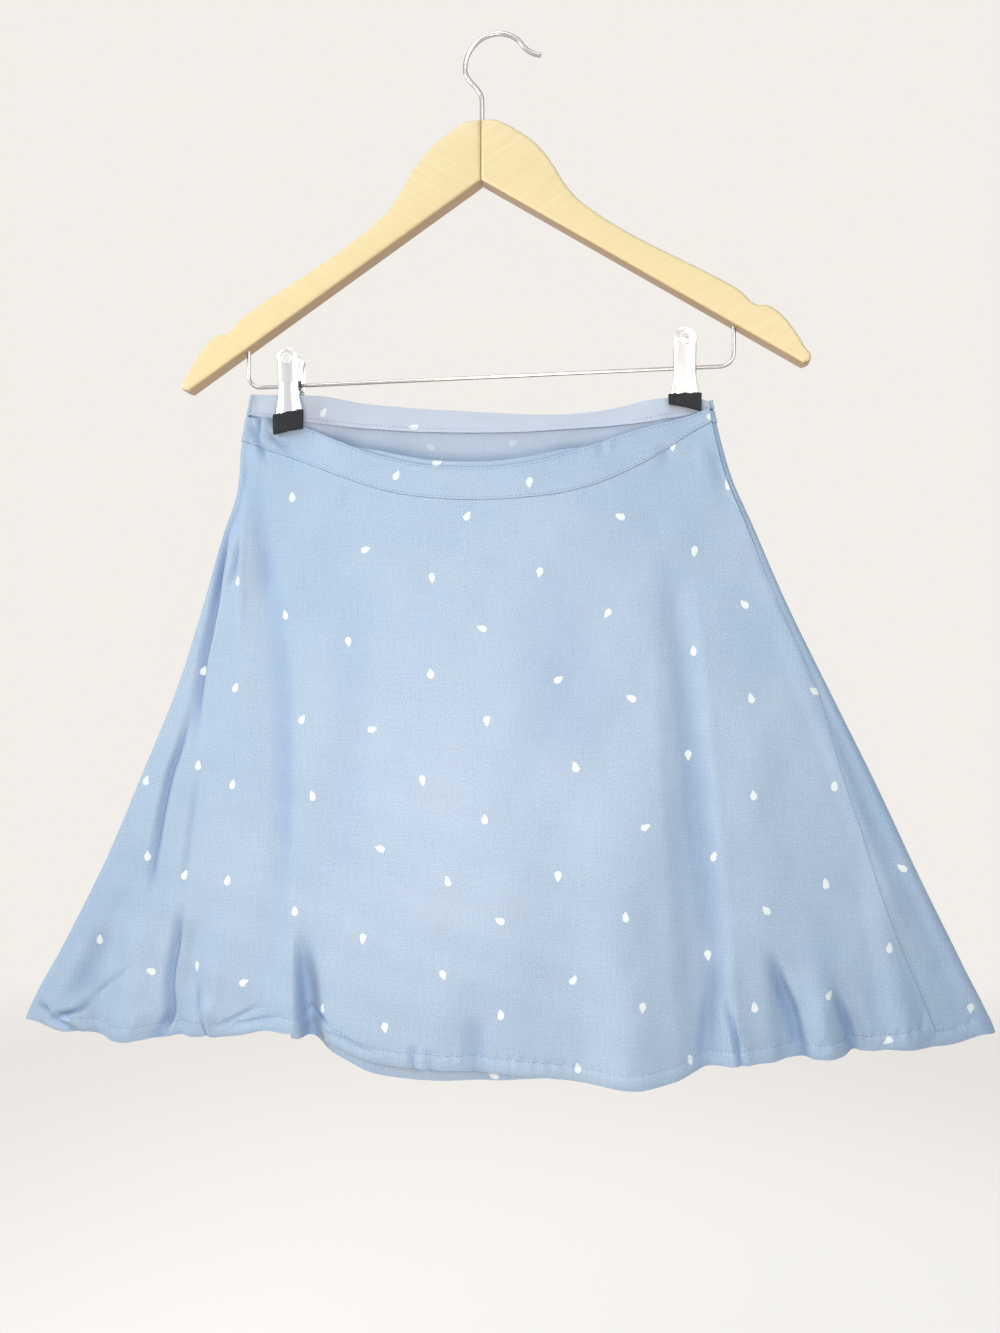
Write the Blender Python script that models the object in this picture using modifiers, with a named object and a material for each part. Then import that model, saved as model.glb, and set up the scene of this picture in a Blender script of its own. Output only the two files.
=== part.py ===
# A short A-line wrap skirt that hangs from a wooden hanger by two steel clips.
# X runs to the viewer's right, Y to the back and Z up. The origin is the underside of the
# hook's crown. Tables and sizes are in millimetres and degrees, and MM makes them metres.

import math
from collections import namedtuple

import bmesh
import bpy
from mathutils import Matrix, Vector

MM = 0.001
SEAM_GAP = 0.3

# The skirt: its waistband is one doubled strip that runs from the under flap's free end, round
# the right side, along the back and round the left side to the over flap's free end.
CLOTH_WALL = 1.2
BAND_WALL = 2.2
# How far a piece keeps from the middle of a side fold, where its neighbour starts.
SIDE_SEAM_HOLD = 0.18
LAYER_STEP = 3.0
LAYER_STEP_HEM = 4.4
SKIRT_X = -17.5
TWIST_TOP = -300.0
TWIST_FOOT = -700.0
TWIST = 4.5

# The bow's power across the skirt (1 would be a circle's), and how fast folds and clips fade out
# toward the side folds.
BOW_POWER = 1.5
FOLD_SIDE_FADE = 8.0

# Level sections of the skirt's tube, from the waist to below the hem.
#   centre: the tube's middle, from SKIRT_X   half: half its width   end: radius of its side folds
#   front, back: how far the under flap and the back panel stand from the side line at the middle
Section = namedtuple("Section", "z centre half end front back")
SECTIONS = (
    Section(-235, 0.0, 161.5, 2.8, 10.5, 7.0),
    Section(-258, -1.0, 165.5, 2.8, 11.5, 7.5),
    Section(-285, -0.5, 170.5, 2.9, 12.0, 8.0),
    Section(-315, 2.5, 176.0, 3.2, 13.0, 8.5),
    Section(-345, 4.0, 187.5, 3.8, 14.5, 9.5),
    Section(-400, 8.0, 207.0, 4.6, 17.5, 12.0),
    Section(-460, 13.0, 231.0, 5.4, 20.5, 14.0),
    Section(-520, 15.5, 258.0, 6.2, 23.0, 16.0),
    Section(-580, 17.0, 284.5, 6.9, 25.0, 18.0),
    Section(-640, 17.0, 314.0, 7.5, 26.5, 19.5),
    Section(-690, 16.0, 339.0, 8.0, 27.5, 20.5),
    Section(-740, 15.0, 350.0, 8.0, 28.0, 21.0),
)

# Heights along the edges of the pieces. A station is a place across the skirt: -1 to 1 is the
# flat part from left to right, and 1 to 2 is the quarter turn of a side fold.
Edge = namedtuple("Edge", "station z")
BACK_BAND_TOP = (
    Edge(-1.0, -243.0), Edge(-0.7, -246.0), Edge(-0.45, -253.0), Edge(-0.1, -259.0),
    Edge(0.33, -265.0), Edge(0.55, -264.0), Edge(0.8, -258.5), Edge(0.94, -258.5), Edge(1.0, -261.0),
)
BACK_BAND_FOOT = (
    Edge(-1.0, -258.5), Edge(-0.72, -265.0), Edge(-0.5, -270.0), Edge(-0.25, -274.0),
    Edge(0.1, -276.5), Edge(0.4, -276.5), Edge(0.7, -274.5), Edge(0.9, -271.0), Edge(1.0, -267.0),
)
FRONT_BAND_TOP = (
    Edge(-1.0, -260.5), Edge(-0.86, -264.0), Edge(-0.7, -271.5), Edge(-0.56, -282.0),
    Edge(-0.38, -293.5), Edge(-0.16, -302.5), Edge(0.05, -304.5), Edge(0.22, -302.5),
    Edge(0.38, -297.0), Edge(0.55, -289.0), Edge(0.71, -281.0), Edge(0.91, -273.0), Edge(1.0, -267.8),
)
FRONT_BAND_FOOT = (
    Edge(-1.0, -278.0), Edge(-0.92, -283.0), Edge(-0.74, -294.0), Edge(-0.56, -306.5),
    Edge(-0.38, -317.5), Edge(-0.2, -324.0), Edge(0.05, -327.0), Edge(0.3, -324.5),
    Edge(0.47, -318.5), Edge(0.63, -308.5), Edge(0.79, -295.5), Edge(0.91, -284.0), Edge(1.0, -277.0),
)
OVER_HEM = (
    Edge(-1.0, -697.0), Edge(-0.9, -705.0), Edge(-0.8, -706.5), Edge(-0.64, -702.0),
    Edge(-0.45, -696.5), Edge(-0.36, -697.5), Edge(-0.25, -709.0), Edge(-0.1, -712.5),
    Edge(0.08, -716.0), Edge(0.28, -722.0), Edge(0.36, -719.0), Edge(0.45, -709.5),
    Edge(0.6, -704.5), Edge(0.8, -699.0), Edge(0.95, -692.0), Edge(1.0, -687.0),
)
UNDER_HEM = (
    Edge(-0.45, -690.0), Edge(-0.4, -697.0), Edge(-0.35, -703.0), Edge(-0.3, -710.0),
    Edge(-0.24, -718.5), Edge(-0.16, -721.5), Edge(0.0, -721.5), Edge(0.1, -718.0),
    Edge(0.28, -719.0), Edge(0.45, -706.5), Edge(0.8, -697.0), Edge(0.92, -694.0), Edge(1.0, -686.5),
)
BACK_HEM = (
    Edge(-1.0, -697.0), Edge(-0.5, -704.0), Edge(0.0, -708.0), Edge(0.5, -703.0), Edge(1.0, -686.5),
)

# Stations of the two free edges, by height.
FreeEdge = namedtuple("FreeEdge", "z station")
OVER_FREE_EDGE = (
    FreeEdge(-260, 1.0), FreeEdge(-290, 0.995), FreeEdge(-457, 0.985), FreeEdge(-509, 0.945),
    FreeEdge(-559, 0.925), FreeEdge(-606, 0.905), FreeEdge(-653, 0.9), FreeEdge(-740, 0.895),
)
UNDER_FREE_EDGE = (
    FreeEdge(-260, -0.918), FreeEdge(-307, -0.905), FreeEdge(-394, -0.77), FreeEdge(-482, -0.62),
    FreeEdge(-574, -0.515), FreeEdge(-693, -0.415), FreeEdge(-740, -0.38),
)
UNDER_SPLIT = -0.3
UNDER_BAND_START = -0.92
OVER_SPLIT = 0.6

# How far the under waistband's top stands above the over one's at the middle, and below it
# at the sides.
UNDER_BAND_RISE = 4.5
UNDER_BAND_RISE_REACH = 0.55
UNDER_BAND_RISE_SPEED = 1.6
UNDER_BAND_DROP = 1.0

# Folds, each a straight soft ridge or valley between two points (x from SKIRT_X), with a half
# width and a height at each end. Plus stands to the front on FRONT_FOLDS, to the back on
# BACK_FOLDS. Those that reach the hem end below it.
Fold = namedtuple("Fold", "top_x top_z top_width top_height foot_x foot_z foot_width foot_height")
FRONT_FOLDS = (
    Fold(-176, -318, 8, -2.0, -230, -610, 14, -6.0),
    Fold(-158, -296, 16, -2.0, -122, -760, 24, -3.5),
    Fold(-254, -585, 16, -3.0, -288, -790, 24, -13.0),
    Fold(-232, -590, 14, 1.0, -254, -790, 22, 10.0),
    Fold(-200, -590, 14, -2.0, -236, -790, 20, -12.0),
    Fold(-186, -610, 12, 1.0, -206, -790, 18, 7.0),
    Fold(-189, -640, 10, -1.0, -181, -790, 14, -5.0),
    Fold(-128, -560, 16, 1.0, -128, -790, 22, 13.0),
    Fold(-112, -580, 12, -1.0, -98, -790, 18, -14.0),
    Fold(8, -600, 30, -1.0, 8, -790, 34, -5.0),
    Fold(90, -500, 34, 1.0, 116, -790, 34, 9.0),
    Fold(136, -340, 14, -2.0, 166, -790, 24, -15.0),
    Fold(166, -560, 14, 1.0, 190, -790, 18, 6.0),
    Fold(206, -600, 14, -2.0, 230, -790, 20, -13.0),
    Fold(228, -610, 14, 1.0, 254, -790, 18, 9.0),
    Fold(247, -610, 12, -2.0, 282, -790, 18, -11.0),
    Fold(268, -560, 14, 1.0, 312, -790, 22, 8.0),
)
BACK_FOLDS = (
    Fold(-190, -470, 26, 1.0, -268, -790, 36, 12.0),
    Fold(-150, -430, 26, -1.0, -206, -790, 36, -12.0),
    Fold(-98, -380, 28, 1.0, -132, -790, 40, 11.0),
    Fold(-40, -400, 30, -1.0, -58, -790, 42, -12.0),
    Fold(22, -360, 28, 1.0, 26, -790, 40, 12.0),
    Fold(74, -420, 28, -1.0, 100, -790, 40, -12.0),
    Fold(128, -380, 26, 1.0, 176, -790, 38, 11.0),
    Fold(180, -450, 26, -1.0, 244, -790, 34, -12.0),
)
FOLD_FADE = 0.22

# Where a clip presses the layers flat: its middle (x from SKIRT_X), its reach each way, and the
# depth at which the under flap or the back panel then lies. The inner half of the reach is flat.
Pinch = namedtuple("Pinch", "x z reach_x reach_z y")
FRONT_PINCHES = (Pinch(-133, -266, 42, 44, -0.2),)
BACK_PINCHES = (Pinch(-133, -262, 42, 44, 2.8), Pinch(147, -258, 42, 40, 1.0))
PINCH_SIDE_FADE = 50.0

# Columns across a panel: finer where its folds are.
Zone = namedtuple("Zone", "start stop columns")
FRONT_ZONES = (Zone(-1.0, UNDER_SPLIT, 22), Zone(UNDER_SPLIT, 0.28, 8), Zone(0.28, 1.0, 23))
UNDER_ZONES = (Zone(-1.0, UNDER_SPLIT, 8),) + FRONT_ZONES[1:]
BACK_ZONES = (Zone(-1.0, 1.0, 34),)
BAND_ZONES = (
    Zone(-1.0, -0.98, 1), Zone(-0.98, UNDER_SPLIT, 11), Zone(UNDER_SPLIT, 0.28, 8),
    Zone(0.28, 0.98, 12), Zone(0.98, 1.0, 1),
)
SIDE_TURN_COLUMNS = 3
OVER_ROWS = 16
UNDER_ROWS = 15
BACK_ROWS = 13
BAND_ROWS = 2
# The over flap leaves the side fold's line and steps out over the under flap between these.
STEP_START = -1.0
STEP_STOP = -0.93

# The hanger: two flat arms that meet at its middle.
HANGER_X = -10.3
WOOD_THICK = 14.0
WOOD_ROUND = 1.6
WOOD_ROUND_ANGLE = 40.0
ARM_REACH = 222.0
JOINT_TOP = -60.5
JOINT_FOOT = -103.0
TIP_FOOT = -241.0
Corner = namedtuple("Corner", "x z")
# The arm's upper edge, from the joint to the tip, with x from the hanger's middle.
ARM_TOP = (
    Corner(10, -61.3), Corner(17, -64.2), Corner(26, -70), Corner(36, -77.5), Corner(44, -86),
    Corner(51, -96), Corner(58, -108), Corner(66, -118.5), Corner(78, -129), Corner(94, -140.5),
    Corner(114, -153), Corner(136, -165.5), Corner(158, -178), Corner(176, -189.5),
    Corner(187, -199.5), Corner(194, -200.5), Corner(203, -207), Corner(211, -217),
    Corner(217.5, -228), Corner(222, -238),
)
TIP_IN = 5.0

# The hook: a round wire with its open side to the right and its end turned out.
HOOK_WIRE = 3.2
HOOK_RADIUS = 22.3
HOOK_START = 188.0
HOOK_STOP = 30.0
HOOK_STEPS = 20
HOOK_TIP = (Corner(25.0, -14.2), Corner(31.0, -16.4))
HOOK_STEM = (
    Corner(-18.6, -30.2), Corner(-13.8, -35.8), Corner(-10.9, -41.0), Corner(HANGER_X, -47.0),
)
HOOK_SEAT = 13.0

# The bar: one wire, bent up at both ends into the arms' undersides.
BAR_WIRE = 2.6
BAR_Z = -238.6
BAR_HALF = 172.5
BAR_BEND = 9.0
BAR_SEAT = 9.0
BEND_STEPS = 5
BORE_SLACK = 0.3
BORE_RUN_OUT = 6.0

# The clips, measured from the bar's axis: a stamped jaw in front and behind, each with side
# ears that straddle the bar and a rubber cap on its lower end, and the spring round the bar.
CLIP_REACH = 140.0
JAW_TOP = 24.5
JAW_HALF = 7.2
JAW_FLARE = -3.0
JAW_NECK = Corner(7.9, -10.0)
JAW_MOUTH = -18.5
JAW_MOUTH_HALF = 9.8
JAW_FOOT = -27.0
JAW_SHEET = 1.0
JAW_TIP_Y = 9.8
JAW_EYE = 3.0
EAR_TOP = 7.0
EAR_FOOT = -5.0
EAR_INSET = 0.05
SPRING_RADIUS = 4.4
SPRING_LENGTH = 11.0
CAP_HALF = 11.2
CAP_THICK = 3.6
CAP_SLOT_TOP = -10.5
ARC_STEPS = 10
# Each cap's four corner heights in front view, and where its gripping face lies.
Grip = namedtuple("Grip", "name x front back left_top right_top left_foot right_foot")
GRIPS = (
    Grip("left", -CLIP_REACH, -5.0, 4.3, -22.2, -18.6, -35.6, -32.0),
    Grip("right", CLIP_REACH, -0.5, 2.5, -17.8, -17.8, -24.0, -29.6),
)

LIGHT_BLUE = (0.56, 0.69, 0.86, 1.0)
PALE_WOOD = (0.88, 0.76, 0.52, 1.0)
STEEL = (0.80, 0.80, 0.80, 1.0)
BLACK_RUBBER = (0.03, 0.03, 0.035, 1.0)


# ---- scene helpers ----

def clear_scene():
    for old in list(bpy.data.objects):
        bpy.data.objects.remove(old, do_unlink=True)


def make_collection(name):
    collection = bpy.data.collections.new(name)
    bpy.context.scene.collection.children.link(collection)
    return collection


def make_material(name, colour, roughness, metallic):
    material = bpy.data.materials.new(name)
    material.use_nodes = True
    shader = material.node_tree.nodes["Principled BSDF"]
    shader.inputs["Base Color"].default_value = colour
    shader.inputs["Roughness"].default_value = roughness
    shader.inputs["Metallic"].default_value = metallic
    material.diffuse_color = colour
    return material


def add_object(name, data, collection, material=None):
    part = bpy.data.objects.new(name, data)
    collection.objects.link(part)
    if material:
        data.materials.append(material)
    return part


def apply_bool(part, cutter, operation):
    modifier = part.modifiers.new(operation.title(), "BOOLEAN")
    modifier.operation = operation
    modifier.object = cutter


def baked_mesh(source):
    # The evaluated mesh of an object, with its loose caps welded on.
    depsgraph = bpy.context.evaluated_depsgraph_get()
    mesh = bpy.data.meshes.new_from_object(source.evaluated_get(depsgraph))
    body = bmesh.new()
    body.from_mesh(mesh)
    bmesh.ops.remove_doubles(body, verts=body.verts, dist=0.01 * MM)
    bmesh.ops.recalc_face_normals(body, faces=body.faces)
    body.to_mesh(mesh)
    body.free()
    return mesh


# ---- curves through tables ----

def smooth_value(rows, at, key, value):
    # A smooth curve through a table's rows, level with its neighbours' slope at each row.
    places = [getattr(row, key) for row in rows]
    values = [getattr(row, value) for row in rows]
    if places[0] > places[-1]:
        places.reverse()
        values.reverse()
    if at <= places[0]:
        return values[0]
    if at >= places[-1]:
        return values[-1]
    last = len(places) - 1
    i = max(k for k in range(last) if places[k] <= at)

    def slope(k):
        low, high = max(k - 1, 0), min(k + 1, last)
        return (values[high] - values[low]) / (places[high] - places[low])

    span = places[i + 1] - places[i]
    t = (at - places[i]) / span
    bend_in = (t ** 3 - 2 * t ** 2 + t) * span * slope(i)
    bend_out = (t ** 3 - t ** 2) * span * slope(i + 1)
    blend = t * t * (3 - 2 * t)
    return values[i] * (1 - blend) + values[i + 1] * blend + bend_in + bend_out


def edge_height(edge, station):
    return smooth_value(edge, min(max(station, -1.0), 1.0), "station", "z")


def ease_line(t):
    return min(max(t, 0.0), 1.0)


def ease(t):
    t = ease_line(t)
    return t * t * (3 - 2 * t)


# ---- the skirt's surface ----

def fold_height(folds, x, z):
    total = 0.0
    for fold in folds:
        t = (fold.top_z - z) / (fold.top_z - fold.foot_z)
        if not 0 < t < 1:
            continue
        width = fold.top_width + (fold.foot_width - fold.top_width) * t
        across = (x - fold.top_x - (fold.foot_x - fold.top_x) * t) / width
        if abs(across) >= 1:
            continue
        height = fold.top_height + (fold.foot_height - fold.top_height) * t
        fade = ease(t / FOLD_FADE) * ease((1 - t) / FOLD_FADE)
        total += height * fade * math.cos(across * math.pi / 2) ** 2
    return total


def pinched(y, pinches, x, z, layer, station):
    for pinch in pinches:
        away = math.hypot((x - pinch.x) / pinch.reach_x, (z - pinch.z) / pinch.reach_z)
        hold = ease(2 - 2 * away) * ease((1 - abs(station)) * PINCH_SIDE_FADE)
        y += (pinch.y - layer - y) * hold
    return y


def tube_point(face, station, z, layer=0.0):
    # A point of the skirt's tube, with face -1 for the front and 1 for the back. A layer
    # above 0 lies that much farther out.
    centre = smooth_value(SECTIONS, z, "z", "centre")
    half = smooth_value(SECTIONS, z, "z", "half")
    end = smooth_value(SECTIONS, z, "z", "end")
    bow = smooth_value(SECTIONS, z, "z", "front" if face < 0 else "back")
    flat = half - end
    side = math.copysign(1.0, station)
    turn = max(abs(station) - 1.0, 0.0) * math.pi / 2
    x = centre + side * (min(abs(station), 1.0) * flat + end * math.sin(turn))
    y = end * math.cos(turn)
    if turn == 0.0:
        y += (bow - end) * (1 - station * station) ** BOW_POWER
        side_fade = ease((1 - abs(station)) * FOLD_SIDE_FADE)
        y += fold_height(FRONT_FOLDS if face < 0 else BACK_FOLDS, x, z) * side_fade
        y += layer
    y = pinched(y * face, FRONT_PINCHES if face < 0 else BACK_PINCHES, x, z, layer, station)
    twist = math.radians(TWIST) * ease_line((TWIST_TOP - z) / (TWIST_TOP - TWIST_FOOT))
    turned_x = SKIRT_X + x * math.cos(twist) - y * math.sin(twist)
    turned_y = x * math.sin(twist) + y * math.cos(twist)
    return Vector((turned_x, turned_y, z)) * MM


def zone_stations(zones, left_turn, right_turn):
    # Column stations, with the side folds' quarter turns where the piece has them.
    turn = [2.0 - i / SIDE_TURN_COLUMNS for i in range(SIDE_TURN_COLUMNS)]
    middle = []
    for zone in zones:
        step = (zone.stop - zone.start) / zone.columns
        middle += [zone.start + step * i for i in range(zone.columns)]
    middle.append(zones[-1].stop)
    left = [-s for s in turn] if left_turn else []
    right = list(reversed(turn)) if right_turn else []
    return left + middle + right


def seam_trim(station, z, wall):
    # Holds a piece back from the middle of a side fold.
    if abs(station) < 2.0:
        return station
    end = smooth_value(SECTIONS, z, "z", "end")
    back_off = SIDE_SEAM_HOLD / (end - wall / 2) / (math.pi / 2)
    return math.copysign(2.0 - back_off, station)


def make_sheet(name, stations, rows, point, wall, collection, material):
    # A cloth piece: a grid laid over point(station, down), with down from 0 at its top edge
    # to 1 at its foot, made a wall of even thickness.
    columns = len(stations) - 1
    body = bmesh.new()
    bmesh.ops.create_grid(body, x_segments=columns, y_segments=rows, size=0.5)
    for vert in body.verts:
        column = round((vert.co.x + 0.5) * columns)
        down = 0.5 - vert.co.y
        vert.co = point(stations[column], down)
    mesh = bpy.data.meshes.new(name)
    body.to_mesh(mesh)
    body.free()
    mesh.shade_smooth()
    sheet = add_object(name, mesh, collection, material)
    solid = sheet.modifiers.new("Wall", "SOLIDIFY")
    solid.thickness = wall * MM
    solid.offset = 0.0
    solid.use_even_offset = True
    return sheet


def blended_height(top, foot, down):
    return top + (foot - top) * down


def over_layer(station, z):
    down = ease_line((TWIST_TOP - z) / (TWIST_TOP - TWIST_FOOT))
    step = LAYER_STEP + (LAYER_STEP_HEM - LAYER_STEP) * down
    return step * ease((station - STEP_START) / (STEP_STOP - STEP_START))


def squeezed(station, split, free):
    # Moves the columns past the split so that the last one runs along the free edge.
    edge = math.copysign(1.0, free)
    if (station - split) * edge <= 0 or abs(station) > 1:
        return station
    return split + (station - split) * (free - split) / (edge - split)


def over_station(station, z):
    free = smooth_value(OVER_FREE_EDGE, z, "z", "station")
    return squeezed(station, OVER_SPLIT, free)


def under_station(station, z):
    free = smooth_value(UNDER_FREE_EDGE, z, "z", "station")
    return squeezed(station, UNDER_SPLIT, free)


def under_band_top(station):
    near = 1 - (station / UNDER_BAND_RISE_REACH) ** 2
    lift = UNDER_BAND_RISE * ease(near * UNDER_BAND_RISE_SPEED) if near > 0 else 0.0
    return edge_height(FRONT_BAND_TOP, station) + lift - UNDER_BAND_DROP * (1 - ease(near))


def under_band_foot(station):
    return edge_height(FRONT_BAND_FOOT, station) + UNDER_BAND_DROP * ease(1 - abs(station))


def over_band_point(station, down):
    z = blended_height(edge_height(FRONT_BAND_TOP, station), edge_height(FRONT_BAND_FOOT, station), down)
    place = seam_trim(over_station(station, z), z, BAND_WALL)
    return tube_point(-1, place, z, over_layer(place, z))


def over_flap_point(station, down):
    top = edge_height(FRONT_BAND_FOOT, station) - SEAM_GAP
    z = blended_height(top, edge_height(OVER_HEM, station), down)
    place = seam_trim(over_station(station, z), z, CLOTH_WALL)
    return tube_point(-1, place, z, over_layer(place, z))


def under_band_point(station, down):
    z = blended_height(under_band_top(station), under_band_foot(station), down)
    return tube_point(-1, seam_trim(station, z, BAND_WALL), z)


def under_flap_point(station, down):
    top = under_band_foot(under_station(station, TWIST_TOP)) - SEAM_GAP
    foot = edge_height(UNDER_HEM, under_station(station, TWIST_FOOT))
    z = blended_height(top, foot, down)
    return tube_point(-1, seam_trim(under_station(station, z), z, CLOTH_WALL), z)


def back_band_point(station, down):
    z = blended_height(edge_height(BACK_BAND_TOP, station), edge_height(BACK_BAND_FOOT, station), down)
    return tube_point(1, seam_trim(station, z, BAND_WALL), z)


def back_panel_point(station, down):
    top = edge_height(BACK_BAND_FOOT, station) - SEAM_GAP
    z = blended_height(top, edge_height(BACK_HEM, station), down)
    return tube_point(1, seam_trim(station, z, CLOTH_WALL), z)


def make_skirt(collection, cloth):
    over = zone_stations(FRONT_ZONES, True, False)
    under = zone_stations(UNDER_ZONES, False, True)
    back = zone_stations(BACK_ZONES, True, True)
    over_band = zone_stations(BAND_ZONES, True, False)
    under_band = [s for s in zone_stations(BAND_ZONES, False, True) if s >= UNDER_BAND_START]
    back_band = zone_stations(BAND_ZONES, True, True)
    pieces = (
        ("waistband_over", over_band, BAND_ROWS, over_band_point, BAND_WALL),
        ("waistband_under", under_band, BAND_ROWS, under_band_point, BAND_WALL),
        ("waistband_back", back_band, BAND_ROWS, back_band_point, BAND_WALL),
        ("over_flap", over, OVER_ROWS, over_flap_point, CLOTH_WALL),
        ("under_flap", under, UNDER_ROWS, under_flap_point, CLOTH_WALL),
        ("back_panel", back, BACK_ROWS, back_panel_point, CLOTH_WALL),
    )
    for name, stations, rows, point, wall in pieces:
        make_sheet(name, stations, rows, point, wall, collection, cloth)


# ---- outlines, wires and bores ----

def flat_curve(name, outlines, thickness, collection):
    # A flat piece: closed outlines in X and Z, filled and extruded evenly about Y = 0. An
    # outline inside another is a hole.
    curve = bpy.data.curves.new(name, "CURVE")
    curve.dimensions = "2D"
    curve.fill_mode = "BOTH"
    curve.extrude = thickness / 2 * MM
    for outline in outlines:
        spline = curve.splines.new("POLY")
        spline.points.add(len(outline) - 1)
        for point, (x, z) in zip(spline.points, outline):
            point.co = (x * MM, z * MM, 0.0, 1.0)
        spline.use_cyclic_u = True
    guide = add_object(name, curve, collection)
    guide.rotation_euler = (math.pi / 2, 0.0, 0.0)
    return guide


def flat_piece(name, outlines, thickness, collection, material):
    guide = flat_curve(name + "_outline", outlines, thickness, collection)
    bpy.context.view_layer.update()
    mesh = baked_mesh(guide)
    mesh.transform(guide.matrix_world)
    curve = guide.data
    bpy.data.objects.remove(guide)
    bpy.data.curves.remove(curve)
    mesh.name = name
    return add_object(name, mesh, collection, material)


def make_wire(name, route, diameter, collection, material):
    curve = bpy.data.curves.new(name, "CURVE")
    curve.dimensions = "3D"
    curve.bevel_depth = diameter / 2 * MM
    curve.bevel_resolution = 2
    curve.use_fill_caps = True
    spline = curve.splines.new("POLY")
    spline.points.add(len(route) - 1)
    for point, (x, z) in zip(spline.points, route):
        point.co = (x * MM, 0.0, z * MM, 1.0)
    return add_object(name, curve, collection, material)


def arc_points(x, z, radius, start, stop, steps):
    points = []
    for i in range(steps + 1):
        angle = math.radians(start + (stop - start) * i / steps)
        points.append((x + radius * math.cos(angle), z + radius * math.sin(angle)))
    return points


def make_cylinder(name, radius, length, place, turn, collection, sides=12):
    body = bmesh.new()
    bmesh.ops.create_cone(
        body, cap_ends=True, segments=sides, radius1=radius * MM, radius2=radius * MM, depth=length * MM)
    mesh = bpy.data.meshes.new(name)
    body.to_mesh(mesh)
    body.free()
    mesh.transform(Matrix.Translation(Vector(place) * MM) @ turn)
    return add_object(name, mesh, collection)


def make_box(name, corners, collection, material=None):
    # corners: x, y and z ranges
    body = bmesh.new()
    bmesh.ops.create_cube(body, size=1.0)
    for vert in body.verts:
        vert.co = Vector([
            (low if part < 0 else high) * MM for part, (low, high) in zip(vert.co, corners)])
    mesh = bpy.data.meshes.new(name)
    body.to_mesh(mesh)
    body.free()
    return add_object(name, mesh, collection, material)


def hide_cutter(cutter):
    cutter.hide_render = True
    cutter.display_type = "WIRE"


# ---- the hanger ----

def underside_height(reach):
    # The arm's straight lower edge, at a distance from the hanger's middle.
    return JOINT_FOOT + (TIP_FOOT - JOINT_FOOT) * reach / (ARM_REACH - TIP_IN)


def arm_outline(side):
    top = [(SEAM_GAP / 2, JOINT_TOP)] + [(corner.x, corner.z) for corner in ARM_TOP]
    foot = [(ARM_REACH - TIP_IN, TIP_FOOT), (SEAM_GAP / 2, JOINT_FOOT)]
    return [(HANGER_X + side * x, z) for x, z in top + foot]


def make_arm(name, side, cutters, parts, wood):
    arm = flat_piece(name, [arm_outline(side)], WOOD_THICK, parts, wood)
    rounding = arm.modifiers.new("Edges", "BEVEL")
    rounding.width = WOOD_ROUND * MM
    rounding.segments = 2
    rounding.limit_method = "ANGLE"
    rounding.angle_limit = math.radians(WOOD_ROUND_ANGLE)
    for cutter in cutters:
        apply_bool(arm, cutter, "DIFFERENCE")
    return arm


def make_bores(collection):
    upright = Matrix.Identity(4)
    hook_top = JOINT_TOP + BORE_RUN_OUT
    hook_foot = JOINT_TOP - HOOK_SEAT - BORE_SLACK
    hook_bore = make_cylinder(
        "hook_bore", HOOK_WIRE / 2 + BORE_SLACK, hook_top - hook_foot,
        (HANGER_X, 0.0, (hook_top + hook_foot) / 2), upright, collection)
    bores = {-1: [hook_bore], 1: [hook_bore]}
    for side in (-1, 1):
        foot = underside_height(BAR_HALF) - BORE_RUN_OUT
        top = underside_height(BAR_HALF) + BAR_SEAT + BORE_SLACK
        bores[side].append(make_cylinder(
            "bar_bore_%+d" % side, BAR_WIRE / 2 + BORE_SLACK, top - foot,
            (HANGER_X + side * BAR_HALF, 0.0, (top + foot) / 2), upright, collection))
    hide_cutter(hook_bore)
    hide_cutter(bores[-1][1])
    hide_cutter(bores[1][1])
    return bores


def make_hook(collection, steel):
    crown_z = HOOK_WIRE / 2 - HOOK_RADIUS
    route = [(HANGER_X, JOINT_TOP - HOOK_SEAT)]
    route += [(corner.x, corner.z) for corner in reversed(HOOK_STEM)]
    route += arc_points(0.0, crown_z, HOOK_RADIUS, HOOK_START, HOOK_STOP, HOOK_STEPS)
    route += [(corner.x, corner.z) for corner in HOOK_TIP]
    return make_wire("hook", route, HOOK_WIRE, collection, steel)


def make_bar(collection, steel):
    leg_top = underside_height(BAR_HALF) + BAR_SEAT
    left = HANGER_X - BAR_HALF
    right = HANGER_X + BAR_HALF
    bend_z = BAR_Z + BAR_BEND
    route = [(left, leg_top)]
    route += arc_points(left + BAR_BEND, bend_z, BAR_BEND, 180.0, 270.0, BEND_STEPS)
    route += arc_points(right - BAR_BEND, bend_z, BAR_BEND, 270.0, 360.0, BEND_STEPS)
    route.append((right, leg_top))
    return make_wire("bar", route, BAR_WIRE, collection, steel)


# ---- the clips ----

def jaw_outline():
    crown = JAW_TOP - JAW_HALF
    dome = arc_points(0.0, crown, JAW_HALF, 0.0, 180.0, ARC_STEPS)
    left = [(-JAW_HALF, JAW_FLARE), (-JAW_NECK.x, JAW_NECK.z), (-JAW_MOUTH_HALF, JAW_MOUTH),
            (-JAW_MOUTH_HALF, JAW_FOOT)]
    right = [(-x, z) for x, z in reversed(left)]
    return dome + left + right


def jaw_lean(grip, face):
    # The jaw's height in Y at its foot, and how far it leans out for each millimetre up.
    inner = grip.front if face < 0 else grip.back
    foot_y = inner + face * CAP_THICK / 2
    lean = (face * JAW_TIP_Y - foot_y) / (JAW_TOP - JAW_FOOT)
    return foot_y, lean


def lean_mesh(mesh, grip, foot_y, lean):
    for vert in mesh.vertices:
        up = vert.co.z / MM - JAW_FOOT
        vert.co.y += (foot_y + lean * up) * MM
        vert.co.x += (HANGER_X + grip.x) * MM
        vert.co.z += BAR_Z * MM


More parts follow.
